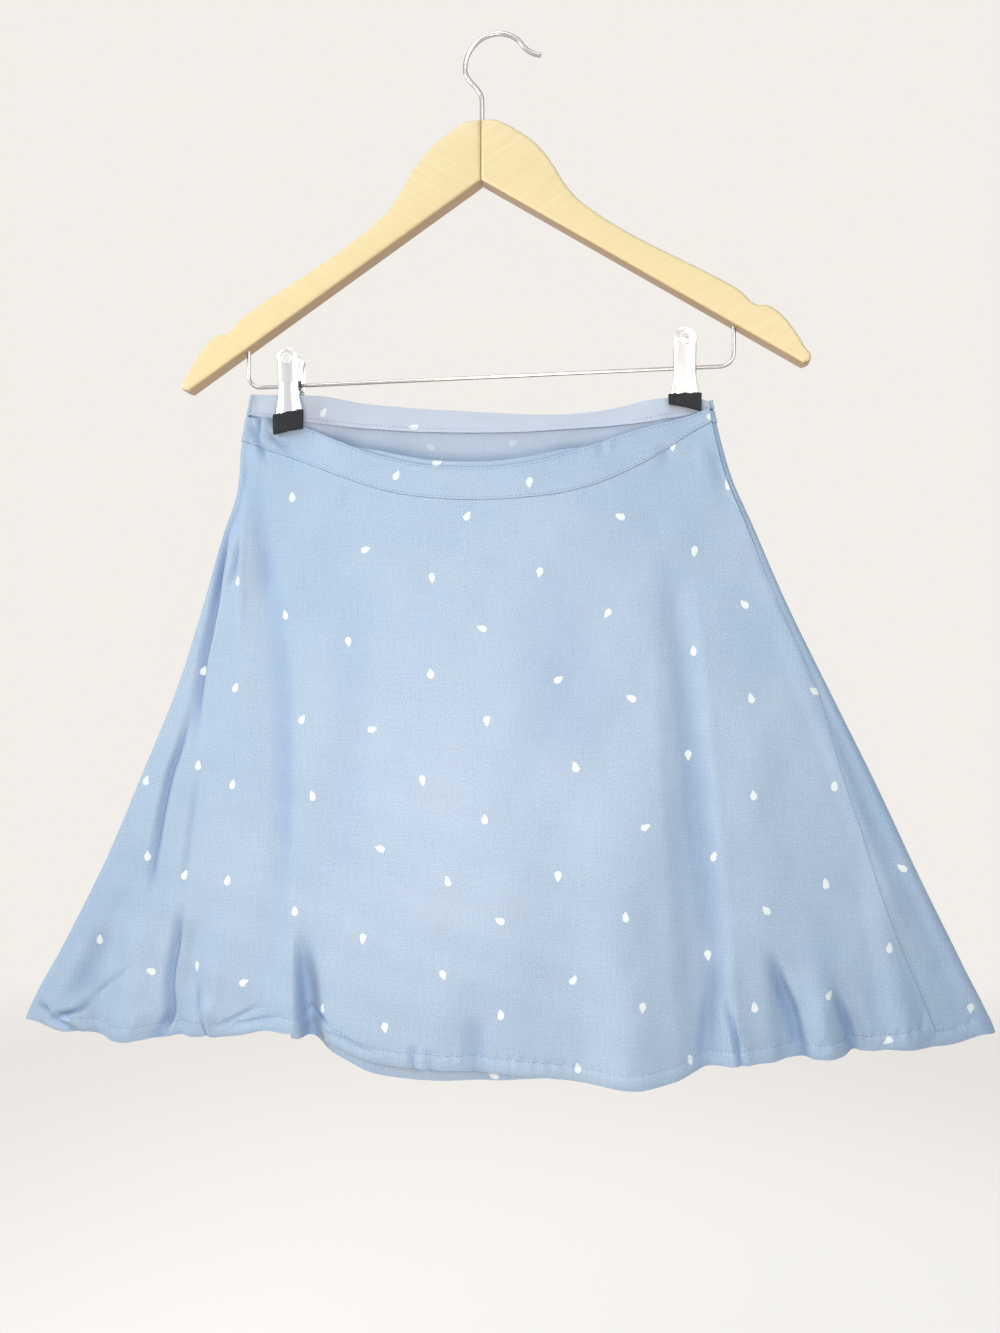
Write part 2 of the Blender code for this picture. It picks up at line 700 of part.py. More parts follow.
def make_jaw(name, grip, face, parts, cutters, steel):
    foot_y, lean = jaw_lean(grip, face)
    eye = arc_points(0.0, JAW_TOP - JAW_HALF, JAW_EYE, 0.0, 360.0 - 360.0 / ARC_STEPS, ARC_STEPS - 1)
    jaw = flat_piece(name, [jaw_outline(), eye], JAW_SHEET, parts, steel)
    lean_mesh(jaw.data, grip, foot_y, lean)
    bar_face = face * (BAR_WIRE / 2 + BORE_SLACK)
    plate_y = foot_y - lean * JAW_FOOT
    for side in (-1, 1):
        x = HANGER_X + grip.x
        across = sorted((x + side * (JAW_HALF - JAW_SHEET), x + side * (JAW_HALF - EAR_INSET)))
        deep = sorted((bar_face, plate_y))
        ear = make_box(
            "%s_ear_%+d" % (name, side), (across, deep, (BAR_Z + EAR_FOOT, BAR_Z + EAR_TOP)), cutters)
        hide_cutter(ear)
        apply_bool(jaw, ear, "UNION")
    return jaw


def make_cap(name, grip, face, parts, cutters, rubber):
    foot_y, lean = jaw_lean(grip, face)
    inner = grip.front if face < 0 else grip.back
    outer = inner + face * CAP_THICK
    x = HANGER_X + grip.x
    cap = make_box(
        name, ((x - CAP_HALF, x + CAP_HALF), sorted((inner, outer)), (grip.left_foot, grip.left_top)),
        parts, rubber)
    for vert in cap.data.vertices:
        t = (vert.co.x / MM - x + CAP_HALF) / (2 * CAP_HALF)
        top = grip.left_top + (grip.right_top - grip.left_top) * t
        foot = grip.left_foot + (grip.right_foot - grip.left_foot) * t
        is_top = vert.co.z / MM > (grip.left_top + grip.left_foot) / 2
        vert.co.z = (BAR_Z + (top if is_top else foot)) * MM
    slot_half = JAW_MOUTH_HALF + BORE_SLACK
    slot_deep = JAW_SHEET / 2 + BORE_SLACK
    slot = make_box(
        name + "_slot", ((-slot_half, slot_half), (-slot_deep, slot_deep),
                         (JAW_FOOT - BORE_SLACK, CAP_SLOT_TOP)), cutters)
    lean_mesh(slot.data, grip, foot_y, lean)
    hide_cutter(slot)
    apply_bool(cap, slot, "DIFFERENCE")
    return cap


def make_spring(name, grip, parts, cutters, steel):
    sideways = Matrix.Rotation(math.pi / 2, 4, "Y")
    place = (HANGER_X + grip.x, 0.0, BAR_Z)
    spring = make_cylinder(name, SPRING_RADIUS, SPRING_LENGTH, place, sideways, parts)
    spring.data.materials.append(steel)
    bore = make_cylinder(
        name + "_bore", BAR_WIRE / 2 + BORE_SLACK, SPRING_LENGTH + BORE_RUN_OUT, place, sideways, cutters)
    hide_cutter(bore)
    apply_bool(spring, bore, "DIFFERENCE")
    return spring


def make_clip(grip, parts, cutters, steel, rubber):
    for place, face in (("front", -1), ("back", 1)):
        make_jaw("clip_%s_jaw_%s" % (grip.name, place), grip, face, parts, cutters, steel)
        make_cap("clip_%s_cap_%s" % (grip.name, place), grip, face, parts, cutters, rubber)
    make_spring("clip_%s_spring" % grip.name, grip, parts, cutters, steel)


def main():
    clear_scene()
    parts = make_collection("wrap_skirt_on_clip_hanger")
    cutters = make_collection("cutters")
    cloth = make_material("light_blue_cloth", LIGHT_BLUE, 0.8, 0.0)
    wood = make_material("pale_wood", PALE_WOOD, 0.45, 0.0)
    steel = make_material("bright_steel", STEEL, 0.2, 1.0)
    rubber = make_material("black_rubber", BLACK_RUBBER, 0.6, 0.0)
    make_skirt(parts, cloth)
    bores = make_bores(cutters)
    make_arm("hanger_arm_left", -1, bores[-1], parts, wood)
    make_arm("hanger_arm_right", 1, bores[1], parts, wood)
    make_hook(parts, steel)
    make_bar(parts, steel)
    for grip in GRIPS:
        make_clip(grip, parts, cutters, steel, rubber)


main()
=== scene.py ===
# The looks of a short wrap skirt that hangs from a wooden hanger by two steel clips.
# The dictionaries hold millimetres and degrees, and mm makes them metres.

import math

import bpy
import numpy as np
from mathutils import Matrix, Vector


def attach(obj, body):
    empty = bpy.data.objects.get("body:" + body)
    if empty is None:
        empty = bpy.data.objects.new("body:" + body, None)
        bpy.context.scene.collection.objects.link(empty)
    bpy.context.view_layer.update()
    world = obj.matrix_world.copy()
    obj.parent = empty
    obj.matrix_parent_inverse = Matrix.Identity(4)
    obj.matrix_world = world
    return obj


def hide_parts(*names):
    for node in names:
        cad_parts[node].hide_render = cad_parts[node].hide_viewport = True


mm = 0.001
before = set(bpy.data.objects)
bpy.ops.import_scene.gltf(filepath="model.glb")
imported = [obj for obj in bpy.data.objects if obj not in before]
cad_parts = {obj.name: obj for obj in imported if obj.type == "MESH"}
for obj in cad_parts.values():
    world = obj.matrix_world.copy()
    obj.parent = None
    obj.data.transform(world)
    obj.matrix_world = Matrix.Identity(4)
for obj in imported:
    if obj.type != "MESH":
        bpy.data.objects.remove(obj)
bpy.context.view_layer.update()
bpy.ops.object.select_all(action="DESELECT")
print("frame loaded:", len(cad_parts), "nodes")


# the camera stands where the picture was taken, a little to the right of the hanger
cameraView = {
    "place": (111.9, -691.0, -441.4),
    "turn": 9.0,
    "lens": 27.0,
    "longSide": 36.0,
    "middle": (500.0, 666.5),       # the picture's middle, in its 1000 x 1333 frame
    "focal": 1000.0,                # the lens in the same pixels
    "nearest": 0.05,                # metres
}


def newObject(name, data):
    made = bpy.data.objects.new(name, data)
    bpy.context.scene.collection.objects.link(made)
    return made


def makeCamera():
    data = bpy.data.cameras.new("pictureCamera")
    data.lens = cameraView["lens"]
    data.sensor_width = cameraView["longSide"]
    data.clip_start = cameraView["nearest"]
    camera = newObject("pictureCamera", data)
    camera.location = Vector(cameraView["place"]) * mm
    camera.rotation_euler = (math.pi / 2, 0.0, math.radians(cameraView["turn"]))
    bpy.context.scene.camera = camera


def pictureOf(points):
    # where points in metres show in the picture, across and down
    turn = math.radians(cameraView["turn"])
    away = points / mm - np.array(cameraView["place"])
    across = away[:, 0] * math.cos(turn) + away[:, 1] * math.sin(turn)
    depth = -away[:, 0] * math.sin(turn) + away[:, 1] * math.cos(turn)
    scale = cameraView["focal"] / depth
    middleX, middleY = cameraView["middle"]
    return middleX + across * scale, middleY - away[:, 2] * scale


makeCamera()


# ---- materials ----

class Paint:
    # the nodes of a material or of the world, with a call for each kind that is used
    def __init__(self, owner):
        owner.use_nodes = True
        self.nodes = owner.node_tree.nodes
        self.links = owner.node_tree.links

    def fill(self, node, inputs):
        for name, value in inputs.items():
            socket = node.inputs[name]
            if isinstance(value, bpy.types.NodeSocket):
                self.links.new(value, socket)
            elif socket.type == "RGBA":
                socket.default_value = (*value, 1.0)
            else:
                socket.default_value = value

    def shade(self, inputs, name="Principled BSDF"):
        self.fill(self.nodes[name], inputs)

    def add(self, kind, inputs, **settings):
        node = self.nodes.new("ShaderNode" + kind)
        for name, value in settings.items():
            setattr(node, name, value)
        self.fill(node, inputs)
        return node.outputs

    def calc(self, operation, *values):
        return self.add("Math", dict(enumerate(values)), operation=operation)[0]

    def mix(self, factor, first, second):
        # the mixing node has its colours at 6 and 7, and the mixed colour at 2
        return self.add("Mix", {0: factor, 6: first, 7: second}, data_type="RGBA")[2]

    def noise(self, where, scale, detail=3.0, rough=0.5):
        look = {"Scale": scale, "Detail": detail, "Roughness": rough}
        return self.add("TexNoise", {"Vector": where, **look})["Fac"]

    def mapped(self, where, scale=(1, 1, 1), turn=(0, 0, 0)):
        rotation = [math.radians(angle) for angle in turn]
        return self.add("Mapping", {"Vector": where, "Scale": scale, "Rotation": rotation})["Vector"]

    def ramp(self, value, low, high, toLow=0.0, toHigh=1.0):
        ends = {"From Min": low, "From Max": high, "To Min": toLow, "To Max": toHigh}
        return self.add("MapRange", {"Value": value, **ends})["Result"]

    def bump(self, height, distance, strength=1.0, before=None):
        inputs = {"Height": height, "Distance": distance, "Strength": strength}
        if before:
            inputs["Normal"] = before
        return self.add("Bump", inputs)["Normal"]

    def place(self, kind="Object"):
        return self.add("TexCoord", {})[kind]

    def split(self, value):
        return self.add("SeparateXYZ", {"Vector": value})


def newMaterial(name):
    material = bpy.data.materials.new(name)
    return material, Paint(material)


clothLook = {
    "blue": (0.262, 0.420, 0.640),
    "paleBlue": (0.440, 0.590, 0.755),
    # the painted shade in the creases' valleys: its colour and how strong it is
    "creaseShadeBlue": (0.110, 0.235, 0.500),
    "creaseShadeTint": 0.42,
    "creaseShadeFull": 4.0,                  # a crease this deep has the whole painted shade
    "fadedAndPaintedLight": (0.600, 0.680, 0.790),     # the inner side's paler colour, also used as painted light on the back band's inside
    "fadedTone": 0.1,                   # how much more it is faded where the tone is pale
    "drop": (0.71, 0.86, 0.91),
    "roughness": 0.62,
    "sheen": 0.25,
    "sheenRoughness": 0.45,
    "specular": 0.4,
    "threadPitch": 0.42,
    "threadWander": 0.6,
    "threadBump": (0.05 * mm, 0.35),    # depth, strength
    "grainSize": 0.9,
    "grainBump": (0.16 * mm, 0.8),
    "slubLength": 26.0,
    "slubWidth": 0.7,
    "slubBump": 0.6,
    "cloudScale": 11.0,
    "cloudShare": 0.6,                  # the shares of clouds, slubs and grain in the tone
    "slubShare": 0.6,
    "grainShare": 2.9,
    "toneRange": (1.8, 2.9),
    "dropLength": 7.5,
    "dropWidth": 4.7,
    "dropFoot": 0.4,                    # the share of a drop that lies below its place
    "dropPlump": 2.6,                   # makes the curve of its sides 1 at its widest
    "dropFray": (330.0, 2.0),           # how fine its uneven edge is, and how uneven
    "dropEdge": 0.25,
    "printThrough": 0.35,               # how much of the print shows on the wrong side
}


def makeClothMaterial(name, printStrength, fadeAndPaintedLight):
    # woven crepe: crossed threads, uneven slubs and a soft grain, with the drops printed on it
    look = clothLook
    material, paint = newMaterial(name)
    cloth = paint.add("UVMap", {}, uv_map="clothMap")["UV"]
    drops = paint.add("UVMap", {}, uv_map="dropMap")["UV"]
    grain = paint.noise(cloth, 1 / (look["grainSize"] * mm), 2.0, 0.6)
    narrow = 1 / (look["slubWidth"] * mm)
    long = 1 / (look["slubLength"] * mm)
    warp = paint.noise(paint.mapped(cloth, (narrow, long, 1)), 1.0)
    weft = paint.noise(paint.mapped(cloth, (long, narrow, 1)), 1.0)
    slubs = paint.calc("ADD", warp, weft)
    tone = paint.calc("MULTIPLY", paint.noise(cloth, look["cloudScale"], 2.0), look["cloudShare"])
    tone = paint.calc("MULTIPLY_ADD", slubs, look["slubShare"], tone)
    tone = paint.calc("MULTIPLY_ADD", grain, look["grainShare"], tone)
    tone = paint.ramp(tone, *look["toneRange"])
    ground = paint.mix(tone, look["blue"], look["paleBlue"])
    # toward the paler colour: the wrong side's real loss of colour, and painted light on the back band's
    # inside
    if fadeAndPaintedLight:
        fadedAndPaintedLight = paint.calc("MULTIPLY_ADD", tone, look["fadedTone"], fadeAndPaintedLight)
        ground = paint.mix(fadedAndPaintedLight, ground, look["fadedAndPaintedLight"])
    # painted shade: the cloth is darkened in the valleys of its creases, where shade falls
    paintedCreaseShade = paint.add("Attribute", {}, attribute_name="paintedCreaseShade")["Fac"]
    ground = paint.mix(paint.calc("MULTIPLY", paintedCreaseShade, look["creaseShadeTint"]), ground, look["creaseShadeBlue"])
    # the drop is round at its foot and pointed at its tip, with a slightly uneven edge
    fromDrop = paint.split(drops)
    fineness, stray = look["dropFray"]
    ragged = paint.calc("MULTIPLY_ADD", paint.noise(cloth, fineness, 2.0), stray * mm, -stray / 2 * mm)
    along = paint.calc("DIVIDE", fromDrop["Y"], look["dropLength"] * mm)
    along = paint.calc("ADD", along, look["dropFoot"])
    along = paint.calc("MINIMUM", paint.calc("MAXIMUM", along, 0.0), 1.0)
    plump = paint.calc("MULTIPLY", paint.calc("SQRT", along), paint.calc("SUBTRACT", 1.0, along))
    half = paint.calc("MULTIPLY", plump, look["dropPlump"] * look["dropWidth"] / 2 * mm)
    side = paint.calc("ABSOLUTE", paint.calc("ADD", fromDrop["X"], ragged))
    inside = paint.ramp(paint.calc("SUBTRACT", half, side), 0.0, look["dropEdge"] * mm)
    printed = paint.calc("MULTIPLY", inside, printStrength)
    pitch = math.pi / 10 / (look["threadPitch"] * mm)
    wave = {"Vector": cloth, "Scale": pitch, "Distortion": look["threadWander"]}
    threads = [paint.add("TexWave", wave, bands_direction=direction)["Fac"] for direction in ("X", "Y")]
    fine = paint.bump(paint.calc("MULTIPLY", *threads), *look["threadBump"])
    soft = paint.calc("MULTIPLY_ADD", slubs, look["slubBump"], grain)
    paint.shade({
        "Base Color": paint.mix(printed, ground, look["drop"]),
        "Roughness": look["roughness"],
        "Sheen Weight": look["sheen"],
        "Sheen Roughness": look["sheenRoughness"],
        "Specular IOR Level": look["specular"],
        "Normal": paint.bump(soft, *look["grainBump"], fine),
    })
    return material


def makeThreadMaterial():
    material, paint = newMaterial("sewingThread")
    twist = paint.noise(paint.place(), 1500.0, 1.0)
    colour = paint.mix(twist, (0.13, 0.22, 0.42), (0.22, 0.34, 0.58))
    paint.shade({"Base Color": colour, "Roughness": 0.6, "Normal": paint.bump(twist, 0.05 * mm)})
    return material


woodLook = {
    "pale": (0.840, 0.745, 0.450),
    "dark": (0.780, 0.650, 0.345),
    "undersideShade": (0.380, 0.255, 0.150),    # painted shade: the faces turned down, away from the lights, are painted darker and browner
    "undersideShadeFrom": (-0.5, -0.82, 0.0, 0.85),
    "roughness": 0.42,
    "coat": 0.1,
    "coatRoughness": 0.25,
    "ringWidth": 3.5,
    "fibreLength": 60.0,
    "fibreShare": 0.35,
    "toneRange": (0.5, 1.0, 0.0, 0.75),
    "bump": (0.06 * mm, 0.4),
}


def makeWoodMaterial(name, slope):
    # close straight grain along the arm, which slopes down at this angle
    look = woodLook
    material, paint = newMaterial(name)
    turned = paint.mapped(paint.place(), turn=(0, slope, 0))
    across = 1 / (look["ringWidth"] * mm)
    along = 1 / (look["fibreLength"] * mm)
    rings = paint.noise(paint.mapped(turned, (along, across, across)), 1.0, 4.0, 0.55)
    fibres = paint.noise(paint.mapped(turned, (along * 3, across * 9, across * 9)), 1.0)
    tone = paint.ramp(paint.calc("MULTIPLY_ADD", fibres, look["fibreShare"], rings), *look["toneRange"])
    colour = paint.mix(tone, look["pale"], look["dark"])
    # painted shade on the arm's downward faces
    under = paint.ramp(paint.split(paint.place("Normal"))["Z"], *look["undersideShadeFrom"])
    paint.shade({
        "Base Color": paint.mix(under, colour, look["undersideShade"]),
        "Roughness": look["roughness"],
        "Coat Weight": look["coat"],
        "Coat Roughness": look["coatRoughness"],
        "Normal": paint.bump(fibres, *look["bump"]),
    })
    return material


# the plated metals: bright and dull colours, the colour of the painted dark reflection at their edges, and
# roughness
metalLooks = {
    "brightSteel": ((0.97, 0.97, 0.97), (0.88, 0.88, 0.89), (0.42, 0.42, 0.43), 0.24),
    "wireSteel": ((0.66, 0.65, 0.64), (0.48, 0.47, 0.46), (0.10, 0.09, 0.09), 0.22),
    # the spring is dark steel, and its near-black colour is also painted shade for the shadow between the
    # jaws
    "springSteelAndPaintedShade": ((0.10, 0.10, 0.11), (0.04, 0.04, 0.05), (0.01, 0.01, 0.01), 0.35),
}
metalWearAndPaintedReflection = {
    "smears": 90.0,
    "smearRoughness": (0.12, -0.05),
    "scratches": (2600, 2600, 160),
    # where the painted dark reflection at the edges begins and where it is full
    "turned": (0.25, 0.75),
}


def makeMetalMaterial(name, bright, dull, edge, roughness):
    # plated metal with a painted dark reflection: its colour darkens where the surface turns away from the
    # eye
    material, paint = newMaterial(name)
    place = paint.place()
    smears = paint.noise(place, metalWearAndPaintedReflection["smears"], 3.0)
    scratches = paint.noise(paint.mapped(place, metalWearAndPaintedReflection["scratches"]), 1.0, 2.0)
    away = paint.ramp(paint.add("LayerWeight", {"Blend": 0.5})["Facing"], *metalWearAndPaintedReflection["turned"])
    rougher, least = metalWearAndPaintedReflection["smearRoughness"]
    paint.shade({
        "Base Color": paint.mix(away, paint.mix(smears, bright, dull), edge),
        "Metallic": 1.0,
        "Roughness": paint.calc("MULTIPLY_ADD", smears, rougher, roughness + least),
        "Normal": paint.bump(scratches, 0.01 * mm, 0.3),
    })
    return material


def makeRubberMaterial():
    material, paint = newMaterial("blackRubber")
    dust = paint.ramp(paint.noise(paint.place(), 700.0, 3.0), 0.45, 0.8)
    paint.shade({
        "Base Color": paint.mix(dust, (0.006, 0.007, 0.011), (0.030, 0.034, 0.042)),
        "Roughness": 0.55,
        "Specular IOR Level": 0.3,
        "Normal": paint.bump(dust, 0.05 * mm, 0.5),
    })
    return material


# how much of the print shows, and how pale the cloth is; the back band's inside is also made paler as painted
# light
rightSide = makeClothMaterial("printedCloth", 1.0, 0.0)
wrongSide = makeClothMaterial("printedClothWrongSide", clothLook["printThrough"], 0.22)
# painted light: the back band's inside is a paler copy of the printed cloth
bandInsidePaintedLight = makeClothMaterial("printedClothBandInsidePaintedLight", 1.0, 0.50)
sewingThread = makeThreadMaterial()
armWood = {-1: makeWoodMaterial("paleWoodLeft", -32.0), 1: makeWoodMaterial("paleWoodRight", 32.0)}
metals = {name: makeMetalMaterial(name, *look) for name, look in metalLooks.items()}
blackRubber = makeRubberMaterial()
print("materials made")


# ---- the skirt's form ----
# A station is a place across the skirt: -1 to 1 is the flat part from left to right, and past
# it to 2 is the quarter turn of a side fold.

skirtForm = {
    "middleX": -17.5,
    "twist": 4.5,
    "twistTop": -300.0,
    "twistFoot": -700.0,
    "bowPower": 1.5,
    "foldSideFade": 8.0,
    "creaseSideFade": 45.0,
    "foldFade": 0.22,
    "creaseFade": 0.35,
    "pictureScale": 0.7,          # millimetres for a pixel of the picture, near the skirt
    "seamHold": 0.18,
    "layerStep": 3.0,             # from wall to wall under the clips
    "looseStep": 1.5,             # and lower down, where the layers lie on each other
    "looseFrom": (-335.0, -385.0),
    "hemStep": 1.7,
    "edgeStep": (0.75, 1.15),     # at the over flap's free edge: above and at the hem
    "edgeFrom": (0.5, 0.4),
    "sideReach": 0.07,
    # where the under flap shows below the hem: station, reach, more step, steepness, from how far down
    "hemGap": (-0.14, 0.30, 4.6, 1.6, 0.3),
    # the cloth's slight waves: steps in x and z, height
    "waves": ((97, 31, 0.30), (61, -140, 0.22), (-43, 88, 0.16), (29, 54, 0.10), (-19, 37, 0.06)),
    # height, middle, half width, side fold's radius, front's bow, back's bow
    "sections": (
        (-235, 0, 161.5, 2.8, 10.5, 7), (-258, -1, 165.5, 2.8, 11.5, 7.5),
        (-285, -0.5, 170.5, 2.9, 12, 8), (-315, 2.5, 176, 3.2, 13, 8.5),
        (-345, 4, 187.5, 3.8, 14.5, 9.5), (-400, 8, 207, 4.6, 17.5, 12),
        (-460, 13, 231, 5.4, 20.5, 14), (-520, 15.5, 258, 6.2, 23, 16),
        (-580, 17, 284.5, 6.9, 25, 18), (-640, 17, 314, 7.5, 26.5, 19.5),
        (-690, 16, 339, 8, 27.5, 20.5), (-740, 15, 350, 8, 28, 21),
    ),
}

# the pieces' edges: station, height
edges = {
    "backBandTop": (
        (-1, -243), (-0.7, -246), (-0.45, -253), (-0.1, -259), (0.33, -265),
        (0.55, -264), (0.8, -258.5), (0.94, -258.5), (1, -261),
    ),
    "backBandFoot": (
        (-1, -258.5), (-0.72, -265), (-0.5, -270), (-0.25, -274), (0.1, -276.5),
        (0.4, -276.5), (0.7, -274.5), (0.9, -271), (1, -267),
    ),
    "frontBandTop": (
        (-1, -260.5), (-0.86, -264), (-0.7, -271.5), (-0.56, -282), (-0.38, -293.5),
        (-0.16, -302.5), (0.05, -304.5), (0.22, -302.5), (0.38, -297), (0.55, -289),
        (0.71, -281), (0.91, -273), (1, -267.8),
    ),
    "frontBandFoot": (
        (-1, -278), (-0.92, -283), (-0.74, -294), (-0.56, -306.5), (-0.38, -317.5),
        (-0.2, -324), (0.05, -327), (0.3, -324.5), (0.47, -318.5), (0.63, -308.5),
        (0.79, -295.5), (0.91, -284), (1, -277),
    ),
    "overHem": (
        (-1, -696), (-0.92, -703), (-0.8, -705.5), (-0.64, -701), (-0.54, -698), (-0.46, -692),
        (-0.41, -692.5), (-0.39, -689), (-0.33, -698), (-0.265, -706.5), (-0.2, -711), (-0.1, -712.5),
        (0.08, -716), (0.28, -722),
        (0.36, -719), (0.45, -709.5), (0.6, -704.5), (0.8, -699), (0.95, -692), (1, -687),
    ),
    "underHem": (
        (-0.45, -690), (-0.4, -697), (-0.35, -703), (-0.3, -710), (-0.24, -718.5),
        (-0.16, -721.5), (0, -721.5), (0.1, -718), (0.28, -719), (0.45, -706.5),
        (0.8, -697), (0.92, -694), (1, -686.5),
    ),
    "backHem": ((-1, -697), (-0.5, -704), (0, -708), (0.5, -703), (1, -686.5)),
    # height, station
    "overFree": (
        (-260, 1), (-290, 0.995), (-457, 0.985), (-509, 0.945), (-559, 0.925), (-606, 0.905),
        (-653, 0.9), (-740, 0.895),
    ),
    "underFree": (
        (-260, -0.918), (-307, -0.905), (-394, -0.77), (-482, -0.62), (-574, -0.515),
        (-693, -0.415), (-740, -0.38),
    ),
    "overSplit": 0.6,
    "underSplit": -0.3,
    "underBandRise": 4.5,
    "underBandReach": 0.55,
    "underBandSpeed": 1.6,
    "underBandDrop": 1,
}

# the clips' grip: x, height, reach across and down, depth
grips = {
    "front": ((-133, -266, 42, 44, -0.2),),
    "back": ((-133, -262, 42, 44, 2.8), (147, -258, 42, 40, 1)),
    "sideFade": 50,
}

# large folds: top x, z, half width and height, then the same at the foot, in the skirt's own x
folds = {
    "front": (
        (-158, -296, 16, -2, -122, -760, 24, -3.5),
        (-254, -585, 16, -3, -288, -790, 24, -13),
        (-232, -590, 14, 1, -254, -790, 22, 10),
        (-190, -600, 12, -2, -222, -790, 14, -12),
        (-176, -610, 10, 1, -190, -790, 14, 5),
        (-189, -640, 10, -1, -181, -790, 14, -5),
        (-128, -560, 16, 1, -128, -790, 22, 13),
        (-112, -620, 12, -1, -98, -790, 18, -10),
        (8, -600, 30, -1, 8, -790, 34, -5),
        (90, -500, 34, 1, 116, -790, 34, 9),
        (136, -340, 16, -1.2, 166, -790, 26, -10),
        (166, -600, 14, 1, 190, -790, 18, 5),
        (206, -625, 12, -2, 230, -790, 18, -13),
        (228, -610, 14, 1, 254, -790, 18, 9),
        (247, -640, 11, -2, 282, -790, 17, -11),
        (268, -560, 14, 1, 312, -790, 22, 8),
    ),
    "back": (
        (-190, -470, 26, 1, -268, -790, 36, 12),
        (-150, -430, 26, -1, -206, -790, 36, -12),
        (-98, -380, 28, 1, -132, -790, 40, 11),
        (-40, -400, 30, -1, -58, -790, 42, -12),
        (22, -360, 28, 1, 26, -790, 40, 12),
        (74, -420, 28, -1, 100, -790, 40, -12),
        (128, -380, 26, 1, 176, -790, 38, 11),
        (180, -450, 26, -1, 244, -790, 34, -12),
    ),
}

# creases of the front: half width, height, lean, then its places across and down in the picture.
# Plus stands out; a lean above 0 makes the right side long and soft and the left one steep
frontCreases = (
    (2.2, -3.9, 0.2, 260, 398, 259, 412, 259, 428, 258, 446),
    (2, -3.3, 0.2, 248, 420, 252, 432, 259, 446, 268, 462),
    (3, 3.6, 0, 266, 404, 266, 420, 263, 444),
    (2, -2.6, 0, 268, 402, 273, 418, 282, 438),
    (2.2, -2.4, 0, 262, 428, 278, 442, 296, 456),
    (2.4, 2.4, 0, 266, 424, 276, 434, 292, 446),
    (5, -1.4, 0, 246, 440, 238, 560),
    (2, -3, 0, 241, 532, 238, 546, 233, 570, 230, 590),
    (1.8, 1.8, 0, 243, 470, 242, 560, 240, 660),
    (6, -2.2, 0.3, 250, 455, 256, 520, 264, 620),
    (2.8, -6.2, -0.35, 230, 490, 224, 541, 212, 619, 206, 646, 199, 690, 194, 765),
    (2.6, -5.2, 0.2, 194, 690, 183, 732, 169, 771, 160, 810, 153, 856, 146, 915),
    (2, -2, 0, 199, 765, 195, 790, 189, 830, 184, 877, 181, 905),
    (7, 1.1, 0, 251, 450, 248, 700),
    (7.5, -2.4, -0.1, 256, 470, 268, 560, 281, 678, 284, 764, 282, 861, 277, 915, 258, 1000),
    (9, 1.6, 0, 308, 690, 304, 930),
    (3, -0.8, 0, 345, 485, 346, 510),
    (6, -2.6, 0, 101, 925, 94, 951, 79, 982, 56, 1018),
    (1.5, -1.6, -0.4, 80, 1005, 105, 985, 123, 972, 136, 960),
    (1.9, -4, -0.2, 44, 1022, 53, 1017, 71, 1013, 83, 1006, 94, 996),
    (1.8, -3, 0, 33, 996, 37, 1003, 43, 1011, 49, 1020),
    (2, -3.4, -0.2, 42, 1014, 49, 1020, 66, 1027, 74, 1033, 88, 1042),
    (2.9, -5.8, -0.3, 184, 895, 179, 926, 174, 956, 169, 985, 170, 1013, 162, 1034, 150, 1066),
    (2.8, -2.8, 0, 170, 1012, 158, 1028, 144, 1046),
    (1.7, -3.4, 0, 197, 974, 197, 990, 197, 1015, 202, 1028, 212, 1060),
    (1.6, 2, 0, 204, 980, 204, 997, 207, 1020, 211, 1044),
    (5, 2, 0, 150, 1000, 130, 1038),
    (5, 2.2, 0, 215, 1000, 190, 1032),
    (1.6, -1.6, -0.4, 206, 1032, 217, 1026, 240, 1015, 253, 1009, 266, 1003),
    (1.6, -1.5, -0.4, 220, 1032, 233, 1026, 269, 1019, 284, 1015),
    (2.6, 2.8, 0, 293, 920, 293, 980, 294, 1070),
    (5, -7, 0.6, 298, 925, 299, 965, 301, 1000, 304, 1040, 306, 1120),
    (6, -3, 0.3, 304, 975, 308, 1020, 314, 1100),
    (2, -2.6, -0.4, 298, 1009, 316, 1013, 332, 1026),
    (1.8, -1.8, -0.4, 318, 1026, 340, 1036, 362, 1046, 384, 1052),
    (2.2, -2.4, 0, 413, 1040, 413, 1078),
    (2.2, -1.6, 0, 431, 1044, 431, 1078),
    (6, -2.4, 0, 475, 1005, 477, 1090),
    (7, -2.8, 0.2, 664, 530, 681, 650, 700, 850, 714, 970, 708, 1022, 704, 1110),
    (4, -2.6, 0.1, 716, 950, 714, 985, 707, 1022, 703, 1100),
    (2, -4.2, -0.3, 725, 990, 730, 1015, 737, 1035, 742, 1062, 748, 1095),
    (3.6, -5.6, -0.4, 770, 940, 780, 977, 795, 1010, 801, 1035, 808, 1060, 818, 1100),
    (2.8, -4.2, -0.4, 832, 978, 840, 1000, 852, 1032, 857, 1054, 864, 1090),
    (5, 1.8, 0, 820, 995, 826, 1052),
    (4.5, 1.5, -0.3, 722, 440, 760, 540, 817, 700, 874, 853, 912, 945, 928, 985, 945, 1040, 962, 1100),
    (6, -1.8, 0.2, 770, 600, 840, 740, 900, 870, 950, 980, 975, 1060),
    (1.8, -2.8, 0, 968, 1006, 984, 1024, 1000, 1040),
    (14, 1.1, 0, 640, 700, 655, 1000),
    (12, 1.2, 0, 742, 640, 770, 960),
    (22, -1.1, 0, 560, 520, 570, 800),
    (24, 0.9, 0, 420, 560, 410, 880),
    (14, -0.9, 0, 356, 560, 345, 900),
    (18, 0.9, 0, 500, 760, 508, 1040),
    (2.4, -1.2, 0, 602, 436, 600, 458),
    (2.4, 0.9, 0, 609, 434, 610, 456),
    (4, -1.2, 0, 716, 440, 726, 500),
    (4, 0.9, 0, 700, 436, 706, 480),
    (4, -1.1, 0, 662, 440, 668, 470),
)

